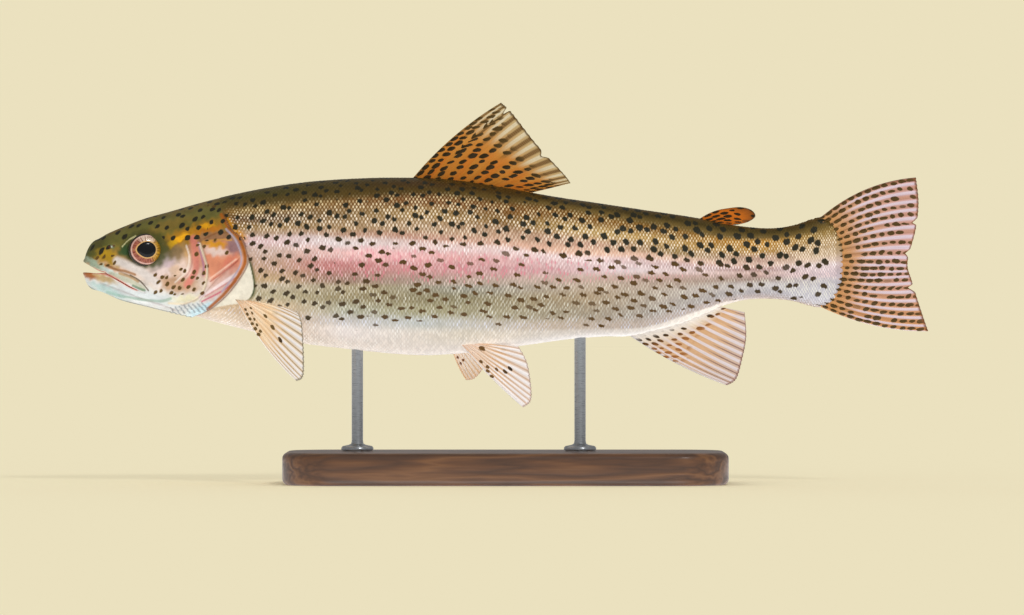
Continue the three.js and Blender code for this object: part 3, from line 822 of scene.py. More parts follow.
class Graph:
    """Adds and joins the nodes of a finish."""

    def __init__(self, tree: bpy.types.NodeTree) -> None:
        """Starts from an empty tree."""
        self.tree = tree
        tree.nodes.clear()

    def add(self, kind: str, **settings: object) -> bpy.types.Node:
        """Adds a node and sets its options."""
        node = self.tree.nodes.new(kind)
        for key, value in settings.items():
            setattr(node, key, value)
        return node

    def feed(self, socket: bpy.types.NodeSocket, value: object) -> None:
        """Gives a socket a value, or joins another node's output to it."""
        if isinstance(value, bpy.types.NodeSocket):
            self.tree.links.new(value, socket)
        elif isinstance(value, np.ndarray) and socket.type == "RGBA":
            socket.default_value = (*value, 1.0)
        else:
            socket.default_value = value

    def attribute(self, name: str, output: str = "Fac") -> bpy.types.NodeSocket:
        """Reads a value kept on the mesh."""
        return self.add("ShaderNodeAttribute", attribute_name=name).outputs[output]

    def split(self, vector: bpy.types.NodeSocket) -> list[bpy.types.NodeSocket]:
        """Parts a vector into its three numbers."""
        node = self.add("ShaderNodeSeparateXYZ")
        self.feed(node.inputs[0], vector)
        return list(node.outputs)

    def join(self, *numbers: object) -> bpy.types.NodeSocket:
        """Makes a vector of up to three numbers."""
        node = self.add("ShaderNodeCombineXYZ")
        for socket, number in zip(node.inputs, numbers):
            self.feed(socket, number)
        return node.outputs[0]

    def maths(self, operation: str, *numbers: object, clamp: bool = False) -> bpy.types.NodeSocket:
        """Does a sum on numbers."""
        node = self.add("ShaderNodeMath", operation=operation, use_clamp=clamp)
        for socket, number in zip(node.inputs, numbers):
            self.feed(socket, number)
        return node.outputs[0]

    def vectors(self, operation: str, *values: object) -> bpy.types.NodeSocket:
        """Does a sum on vectors."""
        node = self.add("ShaderNodeVectorMath", operation=operation)
        for socket, value in zip(node.inputs, values):
            self.feed(socket, value)
        return node.outputs[0]

    def ease(self, value: object, low: object, high: object, start: float = 0.0, end: float = 1.0) -> bpy.types.NodeSocket:
        """Eases a value that runs from low to high into one that runs from start to end."""
        node = self.add("ShaderNodeMapRange", interpolation_type="SMOOTHSTEP")
        for socket, number in zip(node.inputs, (value, low, high, start, end)):
            self.feed(socket, number)
        return node.outputs[0]

    def blend(self, share: object, start: object, end: object, how: str = "MIX") -> bpy.types.NodeSocket:
        """Blends two colours."""
        node = self.add("ShaderNodeMix", data_type="RGBA", blend_type=how, clamp_factor=True)
        for socket, value in zip((node.inputs[0], node.inputs[6], node.inputs[7]), (share, start, end)):
            self.feed(socket, value)
        return node.outputs[2]

    def noise(self, vector: object, scale: float, detail: float = 2.0, output: str = "Fac") -> bpy.types.NodeSocket:
        """Adds soft noise."""
        node = self.add("ShaderNodeTexNoise")
        self.feed(node.inputs["Vector"], vector)
        self.feed(node.inputs["Scale"], scale)
        self.feed(node.inputs["Detail"], detail)
        return node.outputs[output]

    def cells(self, vector: object, scale: float, randomness: float = 1.0) -> tuple[bpy.types.NodeSocket, bpy.types.NodeSocket]:
        """Scatters points in a plane, and gives the distance to the nearest with a random colour of its own."""
        node = self.add("ShaderNodeTexVoronoi", voronoi_dimensions="2D")
        self.feed(node.inputs["Vector"], vector)
        self.feed(node.inputs["Scale"], scale)
        self.feed(node.inputs["Randomness"], randomness)
        return node.outputs["Distance"], node.outputs["Color"]

    def ramp(self, value: object, stops: tuple[tuple[float, str], ...]) -> bpy.types.NodeSocket:
        """Turns a number into a colour by stops."""
        node = self.add("ShaderNodeValToRGB")
        bar = node.color_ramp.elements
        for k, (at, code) in enumerate(stops):
            stop = bar[k] if k < 2 else bar.new(at)
            stop.position = at
            stop.color = (*colour(code), 1.0)
        self.feed(node.inputs[0], value)
        return node.outputs[0]

    def object_place(self) -> bpy.types.NodeSocket:
        """Reads the place in the frame."""
        return self.add("ShaderNodeTexCoord").outputs["Object"]

    def finish(self, base: object, height: object = None, relief: float = 0.0, **settings: object) -> None:
        """Adds the surface.

        Args:
            base: Its colour.
            height: A height that varies over the surface, if it has any.
            relief: How many metres a height of 1 stands for.
            **settings: The surface's other sockets, with _ for a space.
        """
        surface = self.add("ShaderNodeBsdfPrincipled")
        self.feed(surface.inputs["Base Color"], base)
        for key, value in settings.items():
            self.feed(surface.inputs[key.replace("_", " ")], value)
        if height is not None:
            bump = self.add("ShaderNodeBump")
            self.feed(bump.inputs["Height"], height)
            bump.inputs["Distance"].default_value = relief
            self.feed(surface.inputs["Normal"], bump.outputs[0])
        out = self.add("ShaderNodeOutputMaterial")
        self.feed(out.inputs["Surface"], surface.outputs[0])


class Effects:
    """Node groups that several finishes share. Each is built once."""

    made: dict[str, bpy.types.NodeTree] = {}

    @classmethod
    def group(cls, name: str, inputs: dict[str, str], outputs: dict[str, str], fill: Callable) -> bpy.types.NodeTree:
        """Builds a node group the first time it is asked for.

        Args:
            name: Its name.
            inputs: Its input sockets' names and kinds.
            outputs: Its output sockets' names and kinds.
            fill: Adds its nodes, given the graph and its input and output nodes.

        Returns:
            The group.
        """
        if name not in cls.made:
            tree = bpy.data.node_groups.new(name, "ShaderNodeTree")
            for key, kind in inputs.items():
                tree.interface.new_socket(name=key, in_out="INPUT", socket_type="NodeSocket" + kind)
            for key, kind in outputs.items():
                tree.interface.new_socket(name=key, in_out="OUTPUT", socket_type="NodeSocket" + kind)
            graph = Graph(tree)
            fill(graph, graph.add("NodeGroupInput").outputs, graph.add("NodeGroupOutput").inputs)
            cls.made[name] = tree
        return cls.made[name]

    @classmethod
    def spots(cls, graph: Graph, base: object, spot: str, brown: str) -> bpy.types.NodeSocket:
        """Lays the trout's spots over a colour.

        Args:
            graph: The finish's graph.
            base: The colour under them.
            spot: The colour of the round dark ones.
            brown: The colour of the drawn-out ones and of the small ones on the cheek.

        Returns:
            The spotted colour.
        """

        def scatter(g: Graph, at: object, amount: object, drawn: object, grown: object, gap: float, least: float) -> object:
            """Gives a mask of spots about a gap apart, drawn out along the body by a share."""
            turned = g.add("ShaderNodeVectorRotate", rotation_type="Z_AXIS")
            g.feed(turned.inputs["Vector"], at)
            turned.inputs["Angle"].default_value = 0.5
            node = g.add("ShaderNodeTexVoronoi", voronoi_dimensions="2D")
            g.feed(node.inputs["Vector"], turned.outputs[0])
            g.feed(node.inputs["Scale"], 1.0 / gap)
            g.feed(node.inputs["Randomness"], 0.58)
            back = g.add("ShaderNodeVectorRotate", rotation_type="Z_AXIS")
            g.feed(back.inputs["Vector"], g.vectors("SUBTRACT", turned.outputs[0], node.outputs["Position"]))
            back.inputs["Angle"].default_value = -0.5
            x, y, _ = g.split(back.outputs[0])
            x = g.maths("DIVIDE", x, g.maths("MULTIPLY_ADD", drawn, 0.3, 1.0))
            y = g.maths("MULTIPLY", y, g.maths("MULTIPLY_ADD", drawn, 0.42, 1.0))
            far = g.maths("SQRT", g.maths("ADD", g.maths("MULTIPLY", x, x), g.maths("MULTIPLY", y, y)))
            chance, lot, faint = g.split(node.outputs["Color"])
            size = g.maths("MULTIPLY", g.maths("MULTIPLY_ADD", chance, 0.4 * least, least), grown)
            size = g.maths("MULTIPLY", size, g.ease(g.maths("SUBTRACT", amount, lot), -0.03, 0.03))
            edge = g.maths("SUBTRACT", far, size)
            mask = g.maths("MULTIPLY", g.ease(edge, 0.34, -0.24), g.ease(size, 0.3, 0.6))
            paler = g.maths("MULTIPLY", g.maths("MULTIPLY", drawn, 0.2), g.ease(faint, 0.7, 1.0))
            return g.maths("MULTIPLY", mask, g.maths("SUBTRACT", 1.0, paler))

        def fill(g: Graph, given: object, out: object) -> None:
            """Scatters spots over body and head, and small ones over the cheek."""
            wander = g.vectors("SUBTRACT", g.noise(given["Place"], 0.4, 2.0, "Color"), (0.5, 0.5, 0.5))
            at = g.vectors("ADD", given["Place"], g.vectors("MULTIPLY", wander, (1.5, 1.5, 0.0)))
            grown = g.split(given["Place"])[2]
            amount, drawn, small = g.split(given["Amounts"])
            g.feed(out["Spots"], scatter(g, at, amount, drawn, grown, 5.6, 1.06))
            g.feed(out["Small"], scatter(g, at, small, 0.0, 1.0, 4.1, 0.78))

        outputs = {"Spots": "Float", "Small": "Float"}
        group = cls.group("trout_spots", {"Place": "Vector", "Amounts": "Vector"}, outputs, fill)
        node = graph.add("ShaderNodeGroup", node_tree=group)
        amounts = graph.attribute("spot_amount", "Vector")
        graph.feed(node.inputs["Place"], graph.attribute("place", "Vector"))
        graph.feed(node.inputs["Amounts"], amounts)
        tint = graph.blend(graph.split(amounts)[1], colour(spot), colour(brown))
        base = graph.blend(node.outputs["Small"], base, colour(brown))
        return graph.blend(node.outputs["Spots"], base, tint)

    @classmethod
    def mottle(cls, graph: Graph, scale: float, strength: float) -> bpy.types.NodeSocket:
        """Gives a colour near white that makes what it multiplies uneven."""

        def fill(g: Graph, given: object, out: object) -> None:
            """Adds coarse and fine noise."""
            place = g.vectors("MULTIPLY", given["Place"], g.join(given["Scale"], given["Scale"], given["Scale"]))
            both = g.maths("MULTIPLY_ADD", g.noise(place, 0.3, 1.0), 0.6, g.maths("MULTIPLY", g.noise(place, 1.0, 3.0), 0.4))
            swing = g.maths("MULTIPLY", g.maths("SUBTRACT", both, 0.5), given["Strength"])
            tone = g.maths("ADD", 1.0, swing)
            g.feed(out["Colour"], g.join(tone, tone, tone))

        inputs = {"Place": "Vector", "Scale": "Float", "Strength": "Float"}
        node = graph.add("ShaderNodeGroup", node_tree=cls.group("mottle", inputs, {"Colour": "Color"}, fill))
        graph.feed(node.inputs["Place"], graph.object_place())
        node.inputs["Scale"].default_value = scale
        node.inputs["Strength"].default_value = strength
        return node.outputs["Colour"]


@dataclass(frozen=True)
class HideFinish:
    """Wet skin, as on the head and between the scales."""

    name: str = "trout_skin"
    spot: str = "2a281b"
    brown_spot: str = "5a431c"
    # The colour of the painted shade in the gill slit, the grooves and the nostrils.
    painted_groove_shade: str = "6e3c2a"
    roughness: float = 0.4

    def make(self) -> bpy.types.Material:
        """Builds the finish."""
        material = bpy.data.materials.new(self.name)
        material.use_nodes = True
        g = Graph(material.node_tree)
        base = g.blend(1.0, g.attribute("tint", "Color"), Effects.mottle(g, 520.0, 0.8), "MULTIPLY")
        base = Effects.spots(g, base, self.spot, self.brown_spot)
        # Painted shade darkens the gill slit, the grooves and the nostrils.
        base = g.blend(g.attribute("painted_groove_shade"), base, colour(self.painted_groove_shade))
        grain = g.noise(g.object_place(), 2600.0, 3.0)
        g.finish(
            base, grain, 0.00018, Roughness=self.roughness, Specular_IOR_Level=0.12, Coat_Weight=0.02, Coat_Roughness=0.15
        )
        return material


@dataclass(frozen=True)
class ScaleFinish:
    """A scale with a pale middle and a darker edge."""

    name: str = "trout_scale"
    spot: str = "2a281b"
    brown_spot: str = "573f1e"
    roughness: float = 0.42

    def make(self) -> bpy.types.Material:
        """Builds the finish."""
        material = bpy.data.materials.new(self.name)
        material.use_nodes = True
        g = Graph(material.node_tree)
        x, y, tone = g.split(g.attribute("scale", "Vector"))
        rim = g.maths("SQRT", g.maths("ADD", g.maths("MULTIPLY", x, x), g.maths("MULTIPLY", y, y)))
        dim = g.maths("MULTIPLY", g.attribute("edge_depth"), g.ease(rim, 0.3, 0.47))
        shade = g.maths("MULTIPLY", g.maths("SUBTRACT", 1.0, dim), g.maths("MULTIPLY_ADD", tone, 0.2, 0.92))
        base = g.blend(1.0, g.attribute("tint", "Color"), g.join(shade, shade, shade), "MULTIPLY")
        glint_long, glint_wide, _ = g.split(g.attribute("glint_size", "Vector"))
        long = g.maths("DIVIDE", g.maths("SUBTRACT", x, 0.2), glint_long)
        wide = g.maths("DIVIDE", y, glint_wide)
        far = g.maths("SQRT", g.maths("ADD", g.maths("MULTIPLY", long, long), g.maths("MULTIPLY", wide, wide)))
        strength = g.maths("MULTIPLY", g.ease(far, 1.15, 0.35), g.attribute("glint", "Alpha"))
        base = g.blend(strength, base, g.attribute("glint", "Color"))
        base = Effects.spots(g, base, self.spot, self.brown_spot)
        g.finish(base, Roughness=self.roughness, Specular_IOR_Level=0.12, Coat_Weight=0.02, Coat_Roughness=0.15)
        return material


@dataclass(frozen=True)
class FinFinish:
    """A fin's web, rays and spots. Places on it run from the root (0) to the margin (1), and across by rays."""

    name: str
    web: Bands
    ray: str
    ray_width: float = 0.2
    ray_from: float = 0.1
    ray_strength: float = 0.75
    strip: str = "f0e8e4"
    strip_width: float = 0.26
    strip_from: float = 0.3
    strip_strength: float = 0.0
    streak: str = "d08a3c"
    streak_share: float = 0.0
    streak_to: float = 0.8
    streak_across: tuple[float, float] = (1.1, 1.2)
    spot: str = "3a2814"
    spot_outward: str = "3a2814"
    spot_gap: float = 4.2
    spot_long: float = 1.4
    spot_wide: float = 1.1
    spot_on: float = 0.5
    spot_stray: float = 0.15
    spot_share: float = 0.9
    spot_from: float = -0.1
    spot_to: float = 0.7
    spot_front: float = 0.0
    spot_across: float = 1.1
    blots: tuple[tuple[float, float, float], ...] = ()
    lead: str = "d8c0a0"
    lead_width: float = 0.025
    margin: str = "8a6848"
    roughness: float = 0.45

    def make(self) -> bpy.types.Material:
        """Builds the finish."""
        material = bpy.data.materials.new(self.name)
        material.use_nodes = True
        g = Graph(material.node_tree)
        out, phase, across = g.split(g.attribute("fin", "Vector"))
        base = g.ramp(out, self.web)
        wash = g.noise(g.join(g.maths("MULTIPLY", phase, 0.9), g.maths("MULTIPLY", out, 1.6)), 1.0, 2.0)
        wash = g.maths("MULTIPLY", g.ease(wash, 0.42, 0.62), g.ease(out, self.streak_to + 0.2, self.streak_to - 0.2))
        wash = g.maths("MAXIMUM", g.maths("MULTIPLY", wash, self.streak_share), g.ease(across, *self.streak_across))
        base = g.blend(wash, base, colour(self.streak))
        off = g.maths("ABSOLUTE", g.maths("SUBTRACT", g.maths("FRACT", phase), 0.5))
        strip = g.ease(off, 0.5 - self.strip_width, 0.5 - 0.45 * self.strip_width)
        strip = g.maths("MULTIPLY", strip, g.ease(out, self.strip_from - 0.12, self.strip_from + 0.2))
        base = g.blend(g.maths("MULTIPLY", strip, self.strip_strength), base, colour(self.strip))
        streak = g.noise(g.join(g.maths("MULTIPLY", phase, 3.4), g.maths("MULTIPLY", out, 2.0)), 1.6, 3.0)
        tone = g.maths("MULTIPLY_ADD", streak, 0.36, 0.83)
        base = g.blend(1.0, base, g.join(tone, tone, tone), "MULTIPLY")
        line = g.maths("MULTIPLY", g.ease(off, self.ray_width, 0.35 * self.ray_width), self.ray_strength)
        line = g.maths("MULTIPLY", line, g.ease(out, self.ray_from - 0.15, self.ray_from + 0.15))
        joint = g.maths("FRACT", g.maths("MULTIPLY_ADD", out, 38.0, g.maths("MULTIPLY", g.maths("FLOOR", phase), 0.37)))
        joint = g.ease(g.maths("ABSOLUTE", g.maths("SUBTRACT", joint, 0.5)), 0.5, 0.3)
        line = g.maths("MULTIPLY", line, g.maths("MULTIPLY_ADD", joint, 0.25, 0.75))
        base = g.blend(line, base, colour(self.ray))
        lead = g.ease(across, 1.3 * self.lead_width, 0.6 * self.lead_width)
        base = g.blend(g.maths("MULTIPLY", lead, 0.8), base, colour(self.lead))
        tint = g.blend(g.ease(out, self.spot_to - 0.25, self.spot_to), colour(self.spot), colour(self.spot_outward))
        base = g.blend(self.spots(g, out, phase, across), base, tint)
        base = g.blend(g.maths("MULTIPLY", g.ease(out, 0.965, 0.99), 0.75), base, colour(self.margin))
        g.finish(base, Roughness=self.roughness, Specular_IOR_Level=0.12)
        return material

    def spots(self, g: Graph, out: object, phase: object, across: object) -> bpy.types.NodeSocket:
        """Adds dashes in rows along the rays, and the single blots.

        Args:
            g: The finish's graph.
            out: How far out from the root a place is.
            phase: Its place across the fin, in rays.
            across: The same as a share of the fin.

        Returns:
            A mask of the dashes.
        """
        long, apart, wide = g.split(g.attribute("fin_size", "Vector"))
        shifted = g.maths("ADD", phase, 0.5 - self.spot_on)
        column = g.maths("FLOOR", shifted)
        own = g.add("ShaderNodeTexWhiteNoise", noise_dimensions="1D")
        g.feed(own.inputs["W"], column)
        along = g.maths("DIVIDE", g.maths("MULTIPLY", out, long), self.spot_gap)
        place = g.maths("MULTIPLY_ADD", own.outputs["Value"], 3.0, along)
        dice = g.add("ShaderNodeTexWhiteNoise", noise_dimensions="2D")
        g.feed(dice.inputs["Vector"], g.join(column, g.maths("FLOOR", place)))
        one, two, three = g.split(dice.outputs["Color"])
        shift = g.maths("MULTIPLY", g.maths("SUBTRACT", one, 0.5), 2 * self.spot_stray)
        x = g.maths("SUBTRACT", g.maths("SUBTRACT", g.maths("FRACT", shifted), 0.5), shift)
        y = g.maths("SUBTRACT", g.maths("SUBTRACT", g.maths("FRACT", place), 0.5), g.maths("MULTIPLY", shift, 0.5))
        reach = g.maths("MULTIPLY", g.maths("MULTIPLY_ADD", two, 0.5, 0.75), self.spot_wide)
        reach = g.maths("MINIMUM", reach, g.maths("MULTIPLY", apart, 0.42))
        x = g.maths("DIVIDE", g.maths("MULTIPLY", x, apart), reach)
        y = g.maths("DIVIDE", y, g.maths("MULTIPLY_ADD", three, 0.6 * self.spot_long / self.spot_gap, 0.7 * self.spot_long / self.spot_gap))
        rough = g.noise(g.join(phase, g.maths("MULTIPLY", out, 12.0)), 1.6, 2.0)
        wobble = g.maths("MULTIPLY", g.maths("SUBTRACT", rough, 0.5), 0.9)
        far = g.maths("ADD", self.far(g, x, y), wobble)
        mask = g.ease(far, 1.15, 0.85)
        kept = g.maths("FRACT", g.maths("MULTIPLY", one, 9.7))
        mask = g.maths("MULTIPLY", mask, g.ease(kept, self.spot_share + 0.01, self.spot_share - 0.01))
        limit = g.maths("MULTIPLY_ADD", g.ease(across, 0.5, 0.15), self.spot_front, self.spot_to)
        mask = g.maths("MULTIPLY", mask, g.ease(g.maths("SUBTRACT", out, limit), 0.06, -0.06))
        mask = g.maths("MULTIPLY", mask, g.ease(out, self.spot_from - 0.04, self.spot_from + 0.04))
        mask = g.maths("MULTIPLY", mask, g.ease(across, self.spot_across + 0.04, self.spot_across - 0.04))
        for at_out, at_across, radius in self.blots:
            x = g.maths("DIVIDE", g.maths("MULTIPLY", g.maths("SUBTRACT", across, at_across), wide), 0.6 * radius)
            y = g.maths("DIVIDE", g.maths("MULTIPLY", g.maths("SUBTRACT", out, at_out), long), radius)
            mask = g.maths("MAXIMUM", mask, g.ease(g.maths("ADD", self.far(g, x, y), wobble), 1.15, 0.85))
        return mask

    @staticmethod
    def far(g: Graph, x: object, y: object) -> bpy.types.NodeSocket:
        """Gives how far a place is from the middle of a spot."""
        return g.maths("SQRT", g.maths("ADD", g.maths("MULTIPLY", x, x), g.maths("MULTIPLY", y, y)))


@dataclass(frozen=True)
class EyeFinish:
    """A clear-fronted eye: a black pupil in a pale ring, and an iris that is red-brown in front and gold behind."""

    name: str = "trout_eye"
    iris: str = "a4604a"
    gold: str = "cf9a30"
    # The colour of the painted highlight on the iris's top.
    pale: str = "ecdcc4"
    ring: str = "d8ac68"
    line: str = "e8c4b4"
    rim: str = "2a2414"
    pupil: str = "050608"

    def make(self) -> bpy.types.Material:
        """Builds the finish."""
        material = bpy.data.materials.new(self.name)
        material.use_nodes = True
        g = Graph(material.node_tree)
        iris, pupil, turn = g.split(g.attribute("eye", "Vector"))
        streak = g.noise(g.join(g.maths("MULTIPLY", turn, 9.0), g.maths("MULTIPLY", iris, 2.6)), 1.0, 3.0)
        base = g.blend(g.ease(streak, 0.36, 0.66), colour("743626"), colour(self.iris))
        rearward = g.ease(g.maths("COSINE", turn), 0.2, 0.85)
        golden = g.blend(g.ease(streak, 0.36, 0.66), colour("8a6216"), colour(self.gold))
        base = g.blend(rearward, base, golden)
        # The iris's top is paler: a painted highlight.
        pale = g.maths("MULTIPLY", g.ease(g.maths("SINE", turn), 0.55, 1.0), g.ease(streak, 0.3, 0.6))
        base = g.blend(g.maths("MULTIPLY", pale, 0.7), base, colour(self.pale))
        ring = g.maths("MULTIPLY", g.ease(pupil, 1.0, 1.05), g.ease(pupil, 1.22, 1.1))
        base = g.blend(g.maths("MULTIPLY", ring, 0.85), base, colour(self.ring))
        outer = g.maths("MULTIPLY", g.ease(iris, 0.84, 0.89), g.ease(iris, 0.96, 0.92))
        base = g.blend(g.maths("MULTIPLY", outer, 0.55), base, colour(self.line))
        base = g.blend(g.ease(pupil, 1.05, 1.0), base, colour(self.pupil))
        base = g.blend(g.ease(iris, 0.93, 0.975), base, colour(self.rim))
        g.finish(base, Roughness=0.3, Specular_IOR_Level=0.1, Coat_Weight=0.7, Coat_Roughness=0.03, Coat_IOR=1.45)
        return material


@dataclass(frozen=True)
class WoodFinish:
    """Dark oiled wood with its grain along the stand."""

    name: str = "stand_wood"

    def make(self) -> bpy.types.Material:
        """Builds the finish."""
        material = bpy.data.materials.new(self.name)
        material.use_nodes = True
        g = Graph(material.node_tree)
        stretched = g.vectors("MULTIPLY", g.object_place(), (2.2, 26.0, 26.0))
        rings = g.noise(stretched, 2.4, 4.0)
        fine = g.noise(g.vectors("MULTIPLY", g.object_place(), (20.0, 700.0, 700.0)), 1.0, 2.0)
        grain = g.maths("FRACT", g.maths("MULTIPLY", rings, 7.0))
        grain = g.maths("ABSOLUTE", g.maths("SUBTRACT", grain, 0.5))
        mix = g.maths("MULTIPLY_ADD", fine, 0.35, g.maths("MULTIPLY", grain, 1.3))
        base = g.ramp(mix, ((0.0, "3b2413"), (1.0, "7d5430"), (0.5, "5c3a1f")))
        g.finish(base, mix, 0.00012, Roughness=g.ease(mix, 0.0, 1.0, 0.45, 0.32), Coat_Weight=0.25, Coat_Roughness=0.2)
        return material


@dataclass(frozen=True)
class SteelFinish:
    """Brushed steel."""

    name: str = "stand_steel"

    def make(self) -> bpy.types.Material:
        """Builds the finish."""
        material = bpy.data.materials.new(self.name)
        material.use_nodes = True
        g = Graph(material.node_tree)
        brushed = g.noise(g.vectors("MULTIPLY", g.object_place(), (300.0, 300.0, 6000.0)), 1.0, 2.0)
        base = g.blend(brushed, colour("8c8f92"), colour("c3c6c8"))
        g.finish(base, Metallic=1.0, Roughness=g.ease(brushed, 0.2, 0.8, 0.24, 0.4))
        return material


# ---------------------------------------------------------------------------------------------------------
# Skin


@dataclass
class Skin:
    """One closed skin over head, body and tail stalk, that turns in at the lips to line the mouth."""

    form: BodyForm
    girth: Girth
    relief: HeadRelief = HeadRelief()
    around: int = 300
    lining_rows: int = 8
    head_rows: int = 150
    shoulder_rows: int = 110
    body_rows: int = 60
    head_end: float = 100.0
    shoulder_end: float = 215.0
    corner_column: int = 41
    mouth_end: tuple[float, float] = (60.0, -22.0)
    lining: str = "8e3b38"
    lip_line: str = "b0564c"

    @property
    def rows(self) -> int:
        """How many rows of quads the skin has."""
        return self.lining_rows + self.head_rows + self.shoulder_rows + self.body_rows

    def row_stations(self) -> np.ndarray:
        """Gives the stations of the rows behind the head."""
        shoulder = np.linspace(self.head_end, self.shoulder_end, self.shoulder_rows + 1)
        step = np.linspace(0.0, 1.0, self.body_rows + 1)
        body = self.shoulder_end + (self.form.last - self.shoulder_end) * (1 - (1 - step) ** 1.3)
        return np.concatenate([shoulder, body[1:]])

    def unwrap(self, station: np.ndarray, share: np.ndarray, side: np.ndarray) -> np.ndarray:
        """Gives the place on the skin's map of a place behind the head."""
        first = self.lining_rows + self.head_rows
        v = np.interp(station, self.row_stations(), np.arange(first, self.rows + 1) / self.rows)
        return np.stack([np.where(side < 0, share / 2, 1 - share / 2), v], -1)

    def rim(self, line: Track, upper: bool) -> tuple[np.ndarray, np.ndarray, np.ndarray]:
        """Follows a lip from the front to the corner of the mouth, and gives its reach, stations and tilts."""
        station = self.form.first + (77.0 - self.form.first) * np.linspace(0.0, 1.0, 3000) ** 2
        height = line(station)
        gap = (height - WIDEST_HEIGHT(station)) * (1 if upper else -1)
        on = gap < self.form.reach(station, np.full(station.shape, upper))
        on &= station >= station[on.argmax()]
        station, height = station[on], height[on]
        tilt = self.form.tilt_at(station, height)
        tilt[0] = math.pi / 2 if upper else -math.pi / 2
        steps = np.linalg.norm(np.diff(self.form.point(station, tilt, 1.0), axis=0), axis=-1)
        reach = np.concatenate([[0.0], steps.cumsum()])
        return reach / reach[-1], station, tilt

    def chart(self) -> tuple[np.ndarray, np.ndarray]:
        """Gives stations of the head, and how far each is from the nose along the skin."""
        station = self.form.first + (self.head_end - self.form.first) * np.linspace(0.0, 1.0, 1500) ** 2
        width = (HALF_WIDTH(station) - self.form.inset) * self.form.fullness(station)
        steps = np.hypot(np.diff(station), np.diff(width))
        return station, np.concatenate([[0.0], steps.cumsum()])

    def lay_out(self) -> tuple[np.ndarray, np.ndarray, np.ndarray]:
        """Works out the station, tilt and side of each crossing of rows and columns outside the mouth."""
        half = self.around // 2
        column = np.arange(self.around + 1)
        up = np.where(column <= half, column, self.around - column)
        side = np.where(column <= half, -1.0, 1.0)
        share = up / half
        upper = up >= self.corner_column
        s_rim, t_rim = np.zeros(len(column)), np.zeros(len(column))
        for line, mask, along in (
            (UPPER_LIP, upper, (half - up) / (half - self.corner_column)),
            (LOWER_LIP, ~upper, up / self.corner_column),
        ):
            reach, station, tilt = self.rim(line, line is UPPER_LIP)
            s_rim[mask] = np.interp(along[mask], reach, station)
            t_rim[mask] = np.interp(along[mask], reach, tilt)
        chart_s, chart_r = self.chart()
        t_out = self.girth.tilt(np.full(share.shape, self.head_end), share)
        r_rim = np.interp(s_rim, chart_s, chart_r)
        step = np.linspace(0.0, 1.0, self.head_rows + 1)[:, None]
        step = 0.6 * step + 0.4 * step**2
        x = mixed(r_rim * np.cos(t_rim), chart_r[-1] * np.cos(t_out), step)
        y = mixed(r_rim * np.sin(t_rim), chart_r[-1] * np.sin(t_out), step)
        s_head = np.interp(np.hypot(x, y), chart_r, chart_s)
        t_head = np.arctan2(y, x)
        s_rear = np.broadcast_to(self.row_stations()[1:, None], (self.shoulder_rows + self.body_rows, len(column)))
        t_rear = self.girth.tilt(s_rear, np.broadcast_to(share, s_rear.shape))
        station = np.concatenate([s_head, s_rear])
        tilt = np.concatenate([t_head, t_rear])
        return station, tilt, np.broadcast_to(side, station.shape)

    def build(self) -> bpy.types.Mesh:
        """Makes the skin's mesh, with its relief, colours and map."""
        form, unit = self.form, self.form.place.unit
        station, tilt, side = self.lay_out()
        points = form.point(station, tilt, side)
        height = form.height(station, tilt)
        around = np.concatenate([points[:, -2:-1], points, points[:, 1:2]], 1)
        across = around[:, 2:] - around[:, :-2]
        out = np.cross(np.gradient(points, axis=0), across)
        length = np.linalg.norm(out, axis=-1, keepdims=True)
        out = np.where(length > 1e-14, out / np.maximum(length, 1e-14), np.array([1.0, 0.0, 0.0]))
        rim = np.linalg.norm(points - points[:1], axis=-1) / unit
        lift = self.relief.lift(station, height, rim) * smooth(station, self.form.last, self.form.last - 20)
        points = points + out * (lift * MM)[..., None]
        depth = (np.arange(self.lining_rows) / self.lining_rows)[:, None, None]
        inner = np.array([form.place.x(self.mouth_end[0]), 0.0, form.place.z(self.mouth_end[1])])
        lined = inner + (points[:1] - inner) * depth
        mesh, i, j = grid_mesh("skin", self.around, self.rows)
        place_points(mesh, np.concatenate([lined, points])[j, i])

        def spread(values: np.ndarray, inside: float) -> np.ndarray:
            """Gives each vertex its value, and those in the mouth another."""
            start = np.full((self.lining_rows, *values.shape[1:]), inside)
            return np.concatenate([start, values])[j, i]

        tint = LIVERY.tint(station, height)
        tint = mixed(tint, colour(self.lip_line), 0.8 * smooth(rim, 1.5, 0.3) * smooth(station, 6, 24))
        tint = np.concatenate([np.broadcast_to(colour(self.lining), (self.lining_rows, *tint.shape[1:])), tint])
        store_tint(mesh, tint[j, i])
        share = self.girth.share(station, tilt)
        arc = side * (1 - share) * self.girth.length(station) / MM
        place = np.stack([station * unit / MM, arc, LIVERY.growth(station, height)], -1)
        store(mesh, "place", spread(place, 0.0))
        behind = (GILL_EDGE.away(station, height) > 0)[..., None]
        spots = np.where(behind, LIVERY.spots(station, height), LIVERY.head_spots(station, height))
        store(mesh, "spot_amount", spread(spots, 0.0))
        # How strongly painted shade darkens the gill slit, the grooves and the nostrils.
        store(mesh, "painted_groove_shade", spread(self.painted_groove_shades(station, height), 0.0))
        close_up(mesh)
        mesh.shade_smooth()
        return mesh

